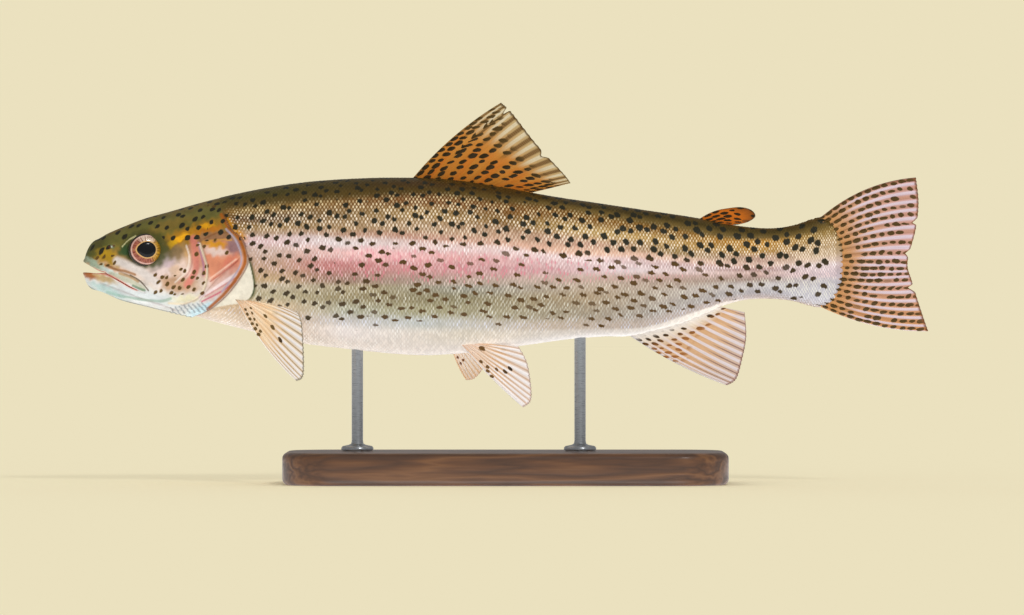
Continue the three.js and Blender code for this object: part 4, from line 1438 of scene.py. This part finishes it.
    def painted_groove_shades(self, station: np.ndarray, height: np.ndarray) -> np.ndarray:
        """Gives how strongly painted shade darkens the gill slit, the plates' grooves, the jaw's groove and the
        nostrils.
        """
        gill = GILL_EDGE.away(station, height)
        dark = 0.85 * hump(gill, 0.9, 1.0) * smooth(height, 66, 50)
        edge = PREOPERCLE_EDGE.away(station, height)
        dark = np.maximum(dark, 0.4 * hump(edge, 1.2, 0.9) * (gill < -2))
        dark = np.maximum(dark, 0.35 * hump(SUBOPERCLE_SEAM.away(station, height), 0, 0.7))
        dark = np.maximum(dark, 0.3 * hump(JAW_GROOVE.away(station, height), 0, 1.2))
        for s, h in ((33.4, 17.4), (37.8, 19.2)):
            dark = np.maximum(dark, 0.9 * smooth(np.hypot((station - s) / 2.0, (height - h) / 1.5), 0.95, 0.45))
        return dark

    def dress(self) -> bpy.types.Object:
        """Builds the skin and puts it in place of the flesh."""
        nodes = ("head", "lower_jaw", "maxilla_left", "maxilla_right", "gill_cover_left", "gill_cover_right")
        return enlist("skin", self.build(), HideFinish().make(), (*nodes, "trunk", "tail_stalk"))


# ---------------------------------------------------------------------------------------------------------
# Scales


@dataclass
class ScaleCoat:
    """Rows of scales that run along the lateral line and get smaller towards the tail."""

    skin: Skin
    pitch: float = 1.8 * MM
    row_share: float = 0.87
    start: float = 150.0
    end: float = 888.0
    behind_gills: float = 3.0
    size_along: Track = Track(((150, 0.82), (230, 0.95), (340, 1.0), (560, 0.98), (720, 0.86), (888, 0.7)))
    length_share: float = 1.55
    width_share: float = 2.25
    lift: float = 0.2 * MM
    sink: float = 0.06 * MM
    thick: float = 0.11 * MM
    sides: int = 10
    patch: float = 0.003
    own_place: float = 0.76
    dividing_row: int = -3

    def template(self) -> tuple[np.ndarray, list[list[int]]]:
        """Makes one scale 1 long and 1 wide, round behind and domed, with its front to -X.

        Returns:
            Its points and its faces.
        """
        bm = bmesh.new()
        bmesh.ops.create_uvsphere(bm, u_segments=self.sides, v_segments=4, radius=0.5)
        low = [v for v in bm.verts if v.co.z < -0.01]
        bmesh.ops.delete(bm, geom=low, context="VERTS")
        bmesh.ops.holes_fill(bm, edges=bm.edges[:], sides=0)
        for v in bm.verts:
            inner = 1.0 - min(1.0, 2.0 * math.hypot(v.co.x, v.co.y))
            v.co.x += 0.16 * inner
        bmesh.ops.recalc_face_normals(bm, faces=bm.faces)
        bm.verts.index_update()
        points = np.array([v.co[:] for v in bm.verts])
        faces = [[v.index for v in f.verts] for f in bm.faces]
        bm.free()
        return points, faces

    def lattice(self, side: Side, upper: bool) -> tuple[np.ndarray, ...]:
        """Works out where the scales of one part of the coat have their middles.

        Args:
            side: The side of the fish. It is not used.
            upper: Whether they lie above the dividing row, counted from the lateral line.

        Returns:
            Stations, shares of the half girth, and the row numbers.
        """
        girth, unit = self.skin.girth, self.skin.form.place.unit
        stations = [self.start]
        while stations[-1] < self.end:
            stations.append(stations[-1] + self.pitch * float(self.size_along(stations[-1])) / unit)
        stations = np.array(stations)
        halfway = (stations[1:] + stations[:-1]) / 2
        rows = range(self.dividing_row, 90) if upper else range(-90, self.dividing_row)
        s, k = [], []
        for row in rows:
            line = halfway if row % 2 else stations[:-1]
            s.append(line)
            k.append(np.full(len(line), float(row)))
        s, k = np.concatenate(s), np.concatenate(k)
        share = self.share_at(s, k)
        height = self.skin.form.height(s, girth.tilt(s, np.clip(share, 0, 1)))
        keep = (share > 0.006) & (share < 0.994) & (BLADE_EDGE.away(s, height) > self.behind_gills)
        return s[keep], share[keep], k[keep]

    def share_at(self, station: np.ndarray, row: np.ndarray) -> np.ndarray:
        """Gives the share of the half girth at which a row passes a station."""
        form, girth = self.skin.form, self.skin.girth
        line = girth.share(station, form.tilt_at(station, LATERAL_LINE(station)))
        return line + row * self.row_share * self.pitch * self.size_along(station) / girth.length(station)

    def build(self, name: str, side: Side, upper: bool, rng: np.random.Generator) -> bpy.types.Mesh:
        """Makes the scales of one part of the coat as one mesh."""
        form, girth, unit = self.skin.form, self.skin.girth, self.skin.form.place.unit
        s, share, row = self.lattice(side, upper)
        count, sign = len(s), np.full(len(s), float(side.value))
        s = s + rng.normal(0.0, 0.16, count)
        tilt = girth.tilt(s, share)
        along, out = form.normal(s, tilt, sign)
        step = 2.0
        ahead = form.point(s + step, girth.tilt(s + step, self.share_at(s + step, row)), sign)
        along = ahead - form.point(s, tilt, sign)
        along -= out * (along * out).sum(-1, keepdims=True)
        along /= np.linalg.norm(along, axis=-1, keepdims=True)
        across = np.cross(out, along)
        turn = rng.normal(0.0, 0.05, count)[:, None]
        along, across = along + across * turn, across - along * turn
        size = self.pitch * self.size_along(s) * (1 + rng.normal(0.0, 0.035, count))
        long = size * self.length_share
        wide = size * self.row_share * self.width_share
        lift = self.lift * self.size_along(s) * (1 + rng.normal(0.0, 0.15, count))
        height = form.height(s, tilt)
        relief = self.skin.relief.lift(s, height, np.full(count, 99.0)) * MM
        root = form.point(s, tilt, sign) + out * (relief - self.sink)[:, None]
        base, faces = self.template()
        x, y, z = base[:, 0], base[:, 1], base[:, 2]
        rise = lift[:, None] * (x + 0.5) + z * 2 * self.thick
        points = (
            root[:, None, :]
            + along[:, None, :] * (long[:, None] * x)[..., None]
            + across[:, None, :] * (wide[:, None] * y)[..., None]
            + out[:, None, :] * rise[..., None]
        ).reshape(-1, 3)
        mesh = self.tile(name, points, faces, count, len(base))
        self.paint(mesh, points, s, share, sign, base, across, rng)
        roots = self.skin.unwrap(s, share, sign)
        flat = (roots[:, None, :] + self.patch * np.stack([y, x], -1)).reshape(-1, 2)
        corner = np.empty(len(mesh.loops), np.int32)
        mesh.loops.foreach_get("vertex_index", corner)
        layer = mesh.uv_layers.new(name=BAKE_MAP)
        layer.data.foreach_set("uv", flat[corner].astype(np.float32).ravel())
        mesh.shade_smooth()
        mesh.set_sharp_from_angle(angle=math.radians(50))
        return mesh

    def tile(self, name: str, points: np.ndarray, faces: list[list[int]], count: int, each: int) -> bpy.types.Mesh:
        """Joins many copies of one scale's faces into a mesh over their points."""
        corners = np.concatenate([np.array(face) for face in faces])
        sizes = np.array([len(face) for face in faces])
        loops = (corners[None, :] + np.arange(count)[:, None] * each).ravel()
        starts = np.concatenate([[0], sizes.cumsum()[:-1]])
        starts = (starts[None, :] + np.arange(count)[:, None] * len(corners)).ravel()
        mesh = bpy.data.meshes.new(name)
        mesh.vertices.add(len(points))
        mesh.vertices.foreach_set("co", points.astype(np.float32).ravel())
        mesh.loops.add(len(loops))
        mesh.loops.foreach_set("vertex_index", loops.astype(np.int32))
        mesh.polygons.add(len(starts))
        mesh.polygons.foreach_set("loop_start", starts.astype(np.int32))
        mesh.update(calc_edges=True)
        return mesh

    def paint(
        self,
        mesh: bpy.types.Mesh,
        points: np.ndarray,
        s: np.ndarray,
        share: np.ndarray,
        sign: np.ndarray,
        base: np.ndarray,
        across: np.ndarray,
        rng: np.random.Generator,
    ) -> None:
        """Keeps the colours and the places of spots on the scales' vertices."""
        place, girth = self.skin.form.place, self.skin.girth
        each = len(base)
        station = (points[:, 0] - place.nose_x) / place.unit
        height = (points[:, 2] - place.axis_z) / place.unit
        store_tint(mesh, LIVERY.tint(station, height))
        arc = sign * (1 - share) * girth.length(s) / MM
        size = self.pitch * self.size_along(s) / MM * self.own_place
        arc = arc[:, None] + (size * self.row_share * self.width_share)[:, None] * base[:, 1]
        run = (s * place.unit / MM)[:, None] + (size * self.length_share)[:, None] * (base[:, 0] - 0.2)
        where = np.stack([run.ravel(), arc.ravel(), LIVERY.growth(station, height)], -1)
        store(mesh, "place", where)
        store(mesh, "spot_amount", LIVERY.spots(station, height))
        middle = (points.reshape(len(s), each, 3).mean(1) - (place.nose_x, 0.0, place.axis_z)) / place.unit
        glint = LIVERY.glint(middle[:, 0], middle[:, 2], rng.random(len(s)))
        store(mesh, "glint", np.repeat(glint, each, axis=0))
        size = LIVERY.glint_size(middle[:, 0], middle[:, 2])
        store(mesh, "glint_size", np.repeat(size, each, axis=0))
        store(mesh, "edge_depth", LIVERY.depth(station, height))
        local = np.concatenate([np.tile(base[:, :2], (len(s), 1)), np.repeat(rng.random((len(s), 1)), each, axis=0)], 1)
        store(mesh, "scale", local)

    def dress(self) -> list[bpy.types.Object]:
        """Builds the four parts of the coat."""
        rng = np.random.default_rng(SEED)
        material = ScaleFinish().make()
        made = []
        for side in Side:
            for part, upper in (("upper", True), ("lower", False)):
                name = f"scales_{side.name.lower()}_{part}"
                mesh = self.build(name, side, upper, rng)
                made.append(enlist(name, mesh, material, ("trunk", "tail_stalk")))
        return made


# ---------------------------------------------------------------------------------------------------------
# Fins


@dataclass
class Fin:
    """A closed fin with rays that fork, laid between its base and its margin."""

    node: str
    base: Pairs
    margin: Pairs
    bow: tuple[float, float]
    rays: int
    root: float
    edge: float
    slot: str
    finish: FinFinish
    form: BodyForm
    side: Side | None = None
    lean: float = 0.0
    fork: float = 0.5
    web: float = 0.4
    scallop: float = 0.012
    wave: float = 0.7
    notches: tuple[tuple[float, float, float], ...] = ()
    depth: float = 0.12
    steps: int = 30
    fineness: int = 9

    def build(self) -> bpy.types.Mesh:
        """Makes the fin's mesh."""
        across = self.rays * self.fineness
        mesh, i, j = grid_mesh(self.node + "_web", 2 * self.steps, across)
        face = np.where(i <= self.steps, -1.0, 1.0)
        raw = 1.0 - np.abs(1.0 - i / self.steps)
        u = -self.depth + (1.0 + self.depth) * raw
        v = j / across
        root, tip = Spline(self.base)(v), Spline(self.margin)(v)
        ray = tip - root
        outward = np.stack([-ray[:, 1], ray[:, 0]], -1)
        outward /= np.linalg.norm(outward, axis=-1, keepdims=True)
        ends = Spline(self.margin)(np.array([0.0, 1.0]))
        turn = np.where(outward @ (ends[0] - ends[1]) < 0, -1.0, 1.0)
        phase = v * self.rays
        away = np.abs(phase % 1.0 - 0.5)
        spread = 0.26 * smooth(u, self.fork, 1.05)
        width = 0.2 - 0.09 * smooth(u, 0.2, 1.0)
        ridge = np.exp(-((np.abs(away - spread) / width) ** 2))
        notch = sum((deep * np.clip(1 - np.abs(v - at) / wide, 0, 1) for at, deep, wide in self.notches), 0.0)
        reach = 1.0 - notch - self.scallop * (1 - ridge) * smooth(u, 0.9, 1.0)
        bow = (self.bow[0] * (1 - v) ** 2 - self.bow[1] * v**2) * 4 * np.clip(u, 0, 1) * (1 - np.clip(u, 0, 1)) * turn
        at = root + ray * (u * np.where(u > 0, reach, 1.0))[:, None] + outward * bow[:, None]
        thick = (self.root + (self.edge - self.root) * np.clip(u, 0, 1)) * (self.web + (1 - self.web) * ridge)
        ends_round = np.sqrt(np.clip(np.minimum(v, 1 - v) / 0.025, 0, 1)) * np.sqrt(np.clip((1 - u) / 0.035, 0, 1))
        thick = thick * ends_round * np.clip((u + self.depth) / (0.6 * self.depth), 0, 1)
        ripple = self.wave * smooth(u, 0.15, 1.0) * np.sin(2 * math.pi * (0.9 * v + 0.35 * u + 0.1))
        y = face * thick / 2 * MM + ripple * MM + self.hang(at[:, 1])
        place = self.form.place
        place_points(mesh, np.stack([place.x(at[:, 0]), y, place.z(at[:, 1])], -1))
        store(mesh, "fin", np.stack([u, phase, v], -1))
        long = np.linalg.norm(ray, axis=-1) * place.unit / MM
        step = 0.01
        base_run = Spline(self.base)(v + step) - Spline(self.base)(v - step)
        tip_run = Spline(self.margin)(v + step) - Spline(self.margin)(v - step)
        run = mixed(base_run, tip_run, np.clip(u, 0, 1)[:, None]) / (np.minimum(v + step, 1) - np.maximum(v - step, 0))[:, None]
        wide = np.linalg.norm(run, axis=-1) * place.unit / MM
        store(mesh, "fin_size", np.stack([long, wide / self.rays, wide], -1))
        close_up(mesh)
        mesh.shade_smooth()
        return mesh

    def hang(self, height: np.ndarray) -> np.ndarray:
        """Gives how far out the fin's middle lies at each height."""
        if self.side is None:
            return np.zeros(height.shape)
        middle = (self.base[0][0] + self.base[-1][0]) / 2
        top = (self.base[0][1] + self.base[-1][1]) / 2
        bare = BodyForm(self.form.place, inset=0.0)
        tilt = bare.tilt_at(np.array(middle), np.array(top))
        root = float(bare.point(middle, tilt, 1.0)[1])
        return self.side.value * (root + self.lean * (top - height) * self.form.place.unit)

    def dress(self) -> bpy.types.Object:
        """Builds the fin in place of its solid."""
        return enlist(self.node + "_web", self.build(), self.finish.make(), (self.node,))


DORSAL_FINISH = FinFinish(
    "dorsal_web", ((0.0, "a8681e"), (1.0, "b09868"), (0.3, "b27226"), (0.55, "b67c34"), (0.76, "b4905c")), "5f3e14",
    ray_width=0.24, ray_from=0.55, ray_strength=0.85, strip="cbbd9c", strip_width=0.2, strip_from=0.66, strip_strength=0.9,
    streak="b85f0e", streak_share=0.6, streak_to=0.55, spot="2e220c", spot_outward="4c3814",
    spot_gap=4.0, spot_long=1.65, spot_wide=1.5, spot_stray=0.16, spot_share=0.95, spot_to=0.72, spot_front=0.22,
    lead="8a6228", margin="6c502a",
)
ADIPOSE_FINISH = FinFinish(
    "adipose_web", ((0.0, "a85808"), (1.0, "6c3c10"), (0.6, "b8600e")), "7a4410", ray_strength=0.0,
    spot="2c1e08", spot_outward="2c1e08", spot_gap=4.4, spot_long=1.7, spot_wide=1.6, spot_share=0.7, spot_to=1.1,
    lead="4a3010", margin="402810",
)
ANAL_FINISH = FinFinish(
    "anal_web",
    ((0.0, "ddd6ce"), (1.0, "c2a694"), (0.1, "dccdb9"), (0.28, "cba074"), (0.6, "cda680"), (0.85, "c6ab96")), "6c4640",
    ray_width=0.12, ray_from=0.6, strip="d6cbcc", strip_from=0.12, strip_strength=0.9,
    spot="30240f", spot_outward="9c6430", spot_gap=4.2, spot_long=1.25, spot_wide=1.15, spot_stray=0.2, spot_share=0.85,
    spot_from=0.05, spot_to=0.3, spot_front=0.18, lead="dcd4d0", lead_width=0.06, margin="9c7568",
)
CAUDAL_FINISH = FinFinish(
    "caudal_web", ((0.0, "bc8a54"), (1.0, "c49a94"), (0.25, "c4987a"), (0.5, "c29888")), "a8744e",
    ray_width=0.3, ray_strength=0.6, ray_from=0.0, strip="cdbcc4", strip_width=0.23, strip_from=0.22, strip_strength=0.9,
    streak="c48c50", streak_share=0.5, streak_to=0.5, streak_across=(0.55, 1.05),
    spot="4e3a18", spot_outward="6e4e2c", spot_gap=4.4, spot_long=1.75, spot_wide=0.92, spot_stray=0.08, spot_share=0.94,
    spot_to=1.1, lead="8c5832", margin="94603e",
)
PECTORAL_FINISH = FinFinish(
    "pectoral_web", ((0.0, "ecd8bf"), (1.0, "e0d0bc"), (0.4, "ead0ac"), (0.75, "e2ceb2")), "8e6c38",
    ray_width=0.16, ray_strength=0.7, ray_from=0.55, strip="e6e0dc", strip_width=0.28, strip_from=0.5, strip_strength=0.95,
    streak="deac72", streak_share=0.5, streak_to=0.75, spot="6e562e", spot_share=0.0,
    blots=(
        (0.08, 0.26, 0.8), (0.13, 0.2, 0.9), (0.185, 0.17, 0.9), (0.24, 0.14, 0.9), (0.3, 0.12, 1.0), (0.37, 0.1, 1.0),
        (0.11, 0.48, 0.7), (0.16, 0.38, 0.75), (0.22, 0.3, 0.8), (0.28, 0.25, 0.9), (0.35, 0.21, 0.9),
        (0.34, 0.56, 1.2), (0.48, 0.47, 1.5), (0.62, 0.4, 1.6),
    ),
    lead="ece8e4", lead_width=0.04, margin="8a8068",
)
PELVIC_FINISH = FinFinish(
    "pelvic_web", ((0.0, "eadacc"), (1.0, "e4d2c4"), (0.45, "e4c8aa"), (0.75, "e4d0c0")), "b88656",
    ray_width=0.15, ray_strength=0.6, ray_from=0.25, strip="f2ecea", strip_width=0.3, strip_from=0.3, strip_strength=0.9,
    streak="d8a878", streak_share=0.5, streak_to=0.7, spot="74542e", spot_share=0.0,
    blots=(
        (0.18, 0.68, 1.6), (0.25, 0.2, 1.1), (0.35, 0.22, 1.1), (0.39, 0.12, 1.1), (0.47, 0.08, 1.1), (0.46, 0.36, 1.1),
        (0.58, 0.45, 1.3), (0.66, 0.56, 1.5),
    ),
    lead="f4f0ee", lead_width=0.08, margin="d6b8a8",
)
# Its colours are raised well above the fin's own, as painted light against the shade it lies in under the belly.
FAR_PELVIC_PAINTED_LIGHT_FINISH = FinFinish(
    "far_pelvic_painted_light_web", ((0.0, "fff0dc"), (1.0, "f6d0a8"), (0.5, "fcead2"), (0.85, "fadebb")), "dca46c",
    ray_width=0.2, ray_strength=0.5, strip="fff4ec", strip_from=0.2, strip_strength=0.6,
    spot="80502c", spot_share=0.0, blots=((0.3, 0.16, 0.8), (0.42, 0.3, 0.8), (0.48, 0.16, 0.8)),
    lead="f6c896", lead_width=0.09, margin="d69a64",
)


def all_fins(form: BodyForm) -> list[Fin]:
    """Gives the fish's fins."""
    pectoral = dict(
        base=((186.5, -50), (200.5, -45.5)),
        margin=((256, -140.5), (264, -134), (264, -104), (261.5, -73), (257, -60.5)),
        bow=(5.1, 4.0), rays=12, root=2.0, edge=0.7, slot="pale_fin", finish=PECTORAL_FINISH, lean=0.38, depth=0.06,
    )
    folded = dict(margin=((247, -132), (254, -127), (254, -100), (252, -72), (249, -60)))
    pelvic = dict(bow=(2.0, 1.0), rays=10, root=2.0, edge=0.7, slot="pale_fin", form=form)
    return [
        Fin(
            "dorsal_fin", ((391, 99.5), (466, 93.5), (532, 82)),
            ((495, 188.5), (508, 176), (536, 140), (569, 104), (577, 93)), (5.8, 0.0), 12, 2.4, 0.6,
            "orange_fin", DORSAL_FINISH, form,
            notches=((0.19, 0.08, 0.025), (0.58, 0.07, 0.03)), scallop=0.006,
        ),
        Fin(
            "adipose_fin", ((730, 51.5), (748, 47.5), (766, 43.5)),
            ((756, 62.5), (776, 64.8), (790, 61.5), (795, 54), (787, 47.5), (774, 44)), (1.5, 0.0), 6, 2.6, 1.2,
            "orange_fin", ADIPOSE_FINISH, form, web=1.0, scallop=0.0, wave=0.2,
        ),
        Fin(
            "anal_fin", ((648, -88), (702, -74.5), (755, -53)),
            ((762, -146), (773, -138), (780, -114), (784.5, -88), (782.5, -59.5)), (4.2, 0.0), 11, 2.4, 0.6,
            "pale_fin", ANAL_FINISH, form, scallop=0.007,
        ),
        Fin(
            "caudal_fin", ((874, 54), (893, 31), (899, 0), (893, -31), (872, -53)),
            ((985, 100), (988, 70), (984.5, 38), (975, 0), (980, -22), (990, -54), (999.6, -82)), (9.6, 7.5),
            19, 3.4, 0.6, "tail_membrane", CAUDAL_FINISH, form, fork=0.32, scallop=0.004,
            notches=((0.285, 0.06, 0.022), (0.45, 0.06, 0.022), (0.715, 0.08, 0.024)),
        ),
        Fin("pectoral_fin_left", form=form, side=Side.LEFT, **pectoral),
        Fin("pectoral_fin_right", form=form, side=Side.RIGHT, **(pectoral | folded)),
        Fin(
            "pelvic_fin_left", ((450.5, -101), (464.5, -96)),
            ((521, -171.5), (530, -164), (530.5, -146), (525.5, -118), (515.5, -99.5)),
            finish=PELVIC_FINISH, side=Side.LEFT, lean=0.42, **pelvic,
        ),
        Fin(
            "pelvic_fin_right", ((436, -101), (456, -97)),
            ((453, -140.5), (462, -139), (471, -130), (477, -117), (477, -104)),
            finish=FAR_PELVIC_PAINTED_LIGHT_FINISH, side=Side.RIGHT, lean=1.1, **pelvic,
        ),
    ]


# ---------------------------------------------------------------------------------------------------------
# Eyes


@dataclass
class Eyeball:
    """A bulging eye, turned a little forward and up, with a pupil drawn to a point in front."""

    side: Side
    long: float = 9.1 * MM
    tall: float = 8.2 * MM
    deep: float = 2.7 * MM
    forward: float = 0.17
    up: float = 0.1
    back: float = 1.0 * MM
    pupil_long: float = 4.2 * MM
    pupil_tall: float = 3.85 * MM
    iris_long: float = 8.6 * MM
    iris_tall: float = 7.7 * MM

    def build(self) -> bpy.types.Mesh:
        """Makes the eyeball's mesh, with the distances that its finish reads."""
        sign = self.side.value
        bm = bmesh.new()
        bmesh.ops.create_uvsphere(bm, u_segments=96, v_segments=64, radius=1.0, calc_uvs=True)
        mesh = bpy.data.meshes.new("eye")
        bm.to_mesh(mesh)
        bm.free()
        flat = np.empty(len(mesh.vertices) * 3, np.float32)
        mesh.vertices.foreach_get("co", flat)
        ball = flat.reshape(-1, 3).astype(float)
        a, b, c = ball[:, 0] * self.long, ball[:, 1] * self.tall, ball[:, 2]
        iris = np.hypot(a / self.iris_long, b / self.iris_tall) + np.where(c < 0, 1.0, 0.0)
        turn = np.arctan2(b, a)
        point = 0.2 * np.exp(-(((np.pi - np.abs(turn)) / 0.5) ** 2))
        pupil = np.hypot(a / self.pupil_long, b / self.pupil_tall) / (1 + point) + np.where(c < 0, 9.0, 0.0)
        lens = 0.25 * MM * smooth(pupil, 1.15, 0.7)
        local = np.stack([a, b, b], -1)
        local[:, 1] = sign * (c * self.deep + lens)
        rx, rz = sign * self.up, -sign * self.forward
        turned = local.copy()
        turned[:, 1] = local[:, 1] * math.cos(rx) - local[:, 2] * math.sin(rx)
        turned[:, 2] = local[:, 1] * math.sin(rx) + local[:, 2] * math.cos(rx)
        spun = turned.copy()
        spun[:, 0] = turned[:, 0] * math.cos(rz) - turned[:, 1] * math.sin(rz)
        spun[:, 1] = turned[:, 0] * math.sin(rz) + turned[:, 1] * math.cos(rz)
        low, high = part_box(f"eye_{self.side.name.lower()}")
        place_points(mesh, spun + np.array((low + high) / 2) + (self.back, 0.0, 0.0))
        store(mesh, "eye", np.stack([iris, pupil, turn], -1))
        close_up(mesh)
        mesh.shade_smooth()
        return mesh

    def dress(self, material: bpy.types.Material) -> bpy.types.Object:
        """Builds the eye in place of its solid."""
        word = self.side.name.lower()
        return enlist(f"eyeball_{word}", self.build(), material, (f"eye_{word}",))


# ---------------------------------------------------------------------------------------------------------
# Stand


@dataclass
class Stand:
    """A wooden base with rounded ends, and two steel rods with round feet."""

    corner: float = 26 * MM
    bevel: float = 3 * MM
    rod: float = 2.8 * MM
    foot: float = 8 * MM
    foot_height: float = 3 * MM

    def base(self) -> bpy.types.Mesh:
        """Makes the base from a block with its corners and edges rounded."""
        low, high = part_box("stand_base")
        bm = bmesh.new()
        bmesh.ops.create_cube(bm, size=1.0)
        bmesh.ops.scale(bm, vec=high - low, verts=bm.verts)
        bmesh.ops.translate(bm, vec=(low + high) / 2, verts=bm.verts)
        upright = [e for e in bm.edges if abs(e.verts[0].co.z - e.verts[1].co.z) > 1e-5]
        bmesh.ops.bevel(bm, geom=upright, offset=self.corner, segments=14, profile=0.5, affect="EDGES", material=-1)
        flat = [f for f in bm.faces if abs(f.normal.z) > 0.9]
        round_edges = list({e for f in flat for e in f.edges})
        bmesh.ops.bevel(bm, geom=round_edges, offset=self.bevel, segments=5, profile=0.5, affect="EDGES", material=-1)
        mesh = bpy.data.meshes.new("stand_base_wood")
        bmesh.ops.recalc_face_normals(bm, faces=bm.faces)
        bm.to_mesh(mesh)
        bm.free()
        mesh.shade_smooth()
        mesh.set_sharp_from_angle(angle=math.radians(35))
        return mesh

    def post(self, node: str) -> bpy.types.Mesh:
        """Makes a rod by spinning its outline round its own axis."""
        low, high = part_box(node)
        axis = (low + high) / 2
        foot, top = low.z, high.z + 1.5 * MM
        lip = 0.7 * MM
        outline = (
            (0.0, foot), (self.foot - lip, foot), (self.foot, foot + lip), (self.foot, foot + 0.5 * self.foot_height),
            (self.foot - lip, foot + 0.8 * self.foot_height), (self.rod + 2 * lip, foot + self.foot_height),
            (self.rod + 0.4 * lip, foot + 1.2 * self.foot_height), (self.rod, foot + 1.7 * self.foot_height),
            (self.rod, top - lip), (self.rod - lip, top), (0.0, top),
        )
        bm = bmesh.new()
        corners = [bm.verts.new((axis.x + r, axis.y, z)) for r, z in outline]
        edges = [bm.edges.new(pair) for pair in zip(corners, corners[1:])]
        bmesh.ops.spin(
            bm, geom=corners + edges, cent=(axis.x, axis.y, 0.0), axis=(0.0, 0.0, 1.0), angle=2 * math.pi,
            steps=40, use_merge=True,
        )
        mesh = bpy.data.meshes.new(node + "_steel")
        bm.to_mesh(mesh)
        bm.free()
        close_up(mesh)
        mesh.shade_smooth()
        mesh.set_sharp_from_angle(angle=math.radians(40))
        return mesh

    def dress(self) -> None:
        """Builds the stand in place of its solids."""
        enlist("stand_base_wood", self.base(), WoodFinish().make(), ("stand_base",))
        steel = SteelFinish().make()
        for node in ("stand_rod_front", "stand_rod_rear"):
            enlist(node + "_steel", self.post(node), steel, (node,))


# ---------------------------------------------------------------------------------------------------------
# Studio


@dataclass
class Studio:
    """A plain pale floor that runs into the backdrop, soft light from all round and the camera."""

    floor: str = "ebe1bf"
    reach: float = 12.0
    bounce: float = 0.9
    underlight: float = 0.3
    daylight: float = 0.72
    gleam: float = 0.35
    key: float = 0.45
    key_from: tuple[float, float, float] = (0.3, -0.75, 0.58)
    softness: float = 9.0
    fill: float = 1.1
    fill_from: tuple[float, float, float] = (0.0, -0.72, -0.69)
    back_fill: float = 1.2
    back_fill_from: tuple[float, float, float] = (0.0, 0.72, -0.69)
    fill_softness: float = 30.0
    lens: float = 250.0
    span: float = 0.508
    aim: tuple[float, float] = (0.0032, 0.0874)

    def ground(self) -> None:
        """Lays the floor."""
        bm = bmesh.new()
        bmesh.ops.create_circle(bm, cap_ends=True, segments=64, radius=self.reach)
        mesh = bpy.data.meshes.new("floor")
        bm.to_mesh(mesh)
        bm.free()
        floor = bpy.data.objects.new("floor", mesh)
        bpy.context.scene.collection.objects.link(floor)
        material = bpy.data.materials.new("studio_floor")
        material.use_nodes = True
        g = Graph(material.node_tree)
        way = Vector(self.key_from).normalized()
        paint = colour(self.floor) / (self.daylight + self.key * way.z / math.pi)
        seen = g.add("ShaderNodeLightPath").outputs["Is Camera Ray"]
        glow = g.blend(seen, np.full(3, self.underlight), np.zeros(3))
        g.finish(
            g.blend(seen, np.full(3, self.bounce), paint), Roughness=1.0, Specular_IOR_Level=0.0, Emission_Color=glow,
            Emission_Strength=1.0,
        )
        mesh.materials.append(material)
        floor.visible_shadow = False

    def light(self) -> None:
        """Lights the studio, and colours the backdrop like the floor."""
        world = bpy.data.worlds.new("studio")
        world.use_nodes = True
        g = Graph(world.node_tree)
        way = g.add("ShaderNodeLightPath").outputs
        lit = g.blend(way["Is Glossy Ray"], np.full(3, self.daylight), np.full(3, self.gleam))
        sky = g.add("ShaderNodeBackground")
        g.feed(sky.inputs[0], g.blend(way["Is Camera Ray"], lit, colour(self.floor)))
        g.feed(g.add("ShaderNodeOutputWorld").inputs[0], sky.outputs[0])
        bpy.context.scene.world = world
        self.lamp("key", self.key, self.key_from, self.softness)
        self.lamp("fill", self.fill, self.fill_from, self.fill_softness, shadow=False)
        self.lamp("back_fill", self.back_fill, self.back_fill_from, self.fill_softness, shadow=False)

    def lamp(self, name: str, strength: float, way: tuple[float, float, float], softness: float, shadow: bool = True) -> None:
        """Adds a lamp.

        Args:
            name: Its name.
            strength: How strong it is.
            way: The direction that it shines from.
            softness: How wide it is, in degrees.
            shadow: Whether it casts shadows.
        """
        light = bpy.data.lights.new(name, "SUN")
        light.energy, light.angle, light.use_shadow = strength, math.radians(softness), shadow
        lamp = bpy.data.objects.new(name, light)
        lamp.rotation_euler = Vector(way).to_track_quat("Z", "Y").to_euler()
        bpy.context.scene.collection.objects.link(lamp)

    def camera(self) -> None:
        """Sets the camera square to the fish's left side."""
        data = bpy.data.cameras.new("camera")
        data.lens = self.lens
        camera = bpy.data.objects.new("camera", data)
        distance = self.span * self.lens / data.sensor_width
        camera.location = (self.aim[0], -distance, self.aim[1])
        camera.rotation_euler = (math.pi / 2, 0.0, 0.0)
        bpy.context.scene.collection.objects.link(camera)
        bpy.context.scene.camera = camera
        bpy.context.scene.view_settings.view_transform = "Standard"

    def build(self) -> None:
        """Sets up floor, lights and camera."""
        self.ground()
        self.light()
        self.camera()


# ---------------------------------------------------------------------------------------------------------


def main() -> None:
    """Builds every piece in order."""
    logging.basicConfig(level=logging.INFO, format="%(message)s")
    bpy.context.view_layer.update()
    form = BodyForm(Placement.read())
    skin = Skin(form, Girth(form))
    skin.dress()
    ScaleCoat(skin).dress()
    for fin in all_fins(form):
        fin.dress()
    eye = EyeFinish().make()
    for side in Side:
        Eyeball(side).dress(eye)
    Stand().dress()
    Studio().build()


if __name__ == "__main__":
    main()
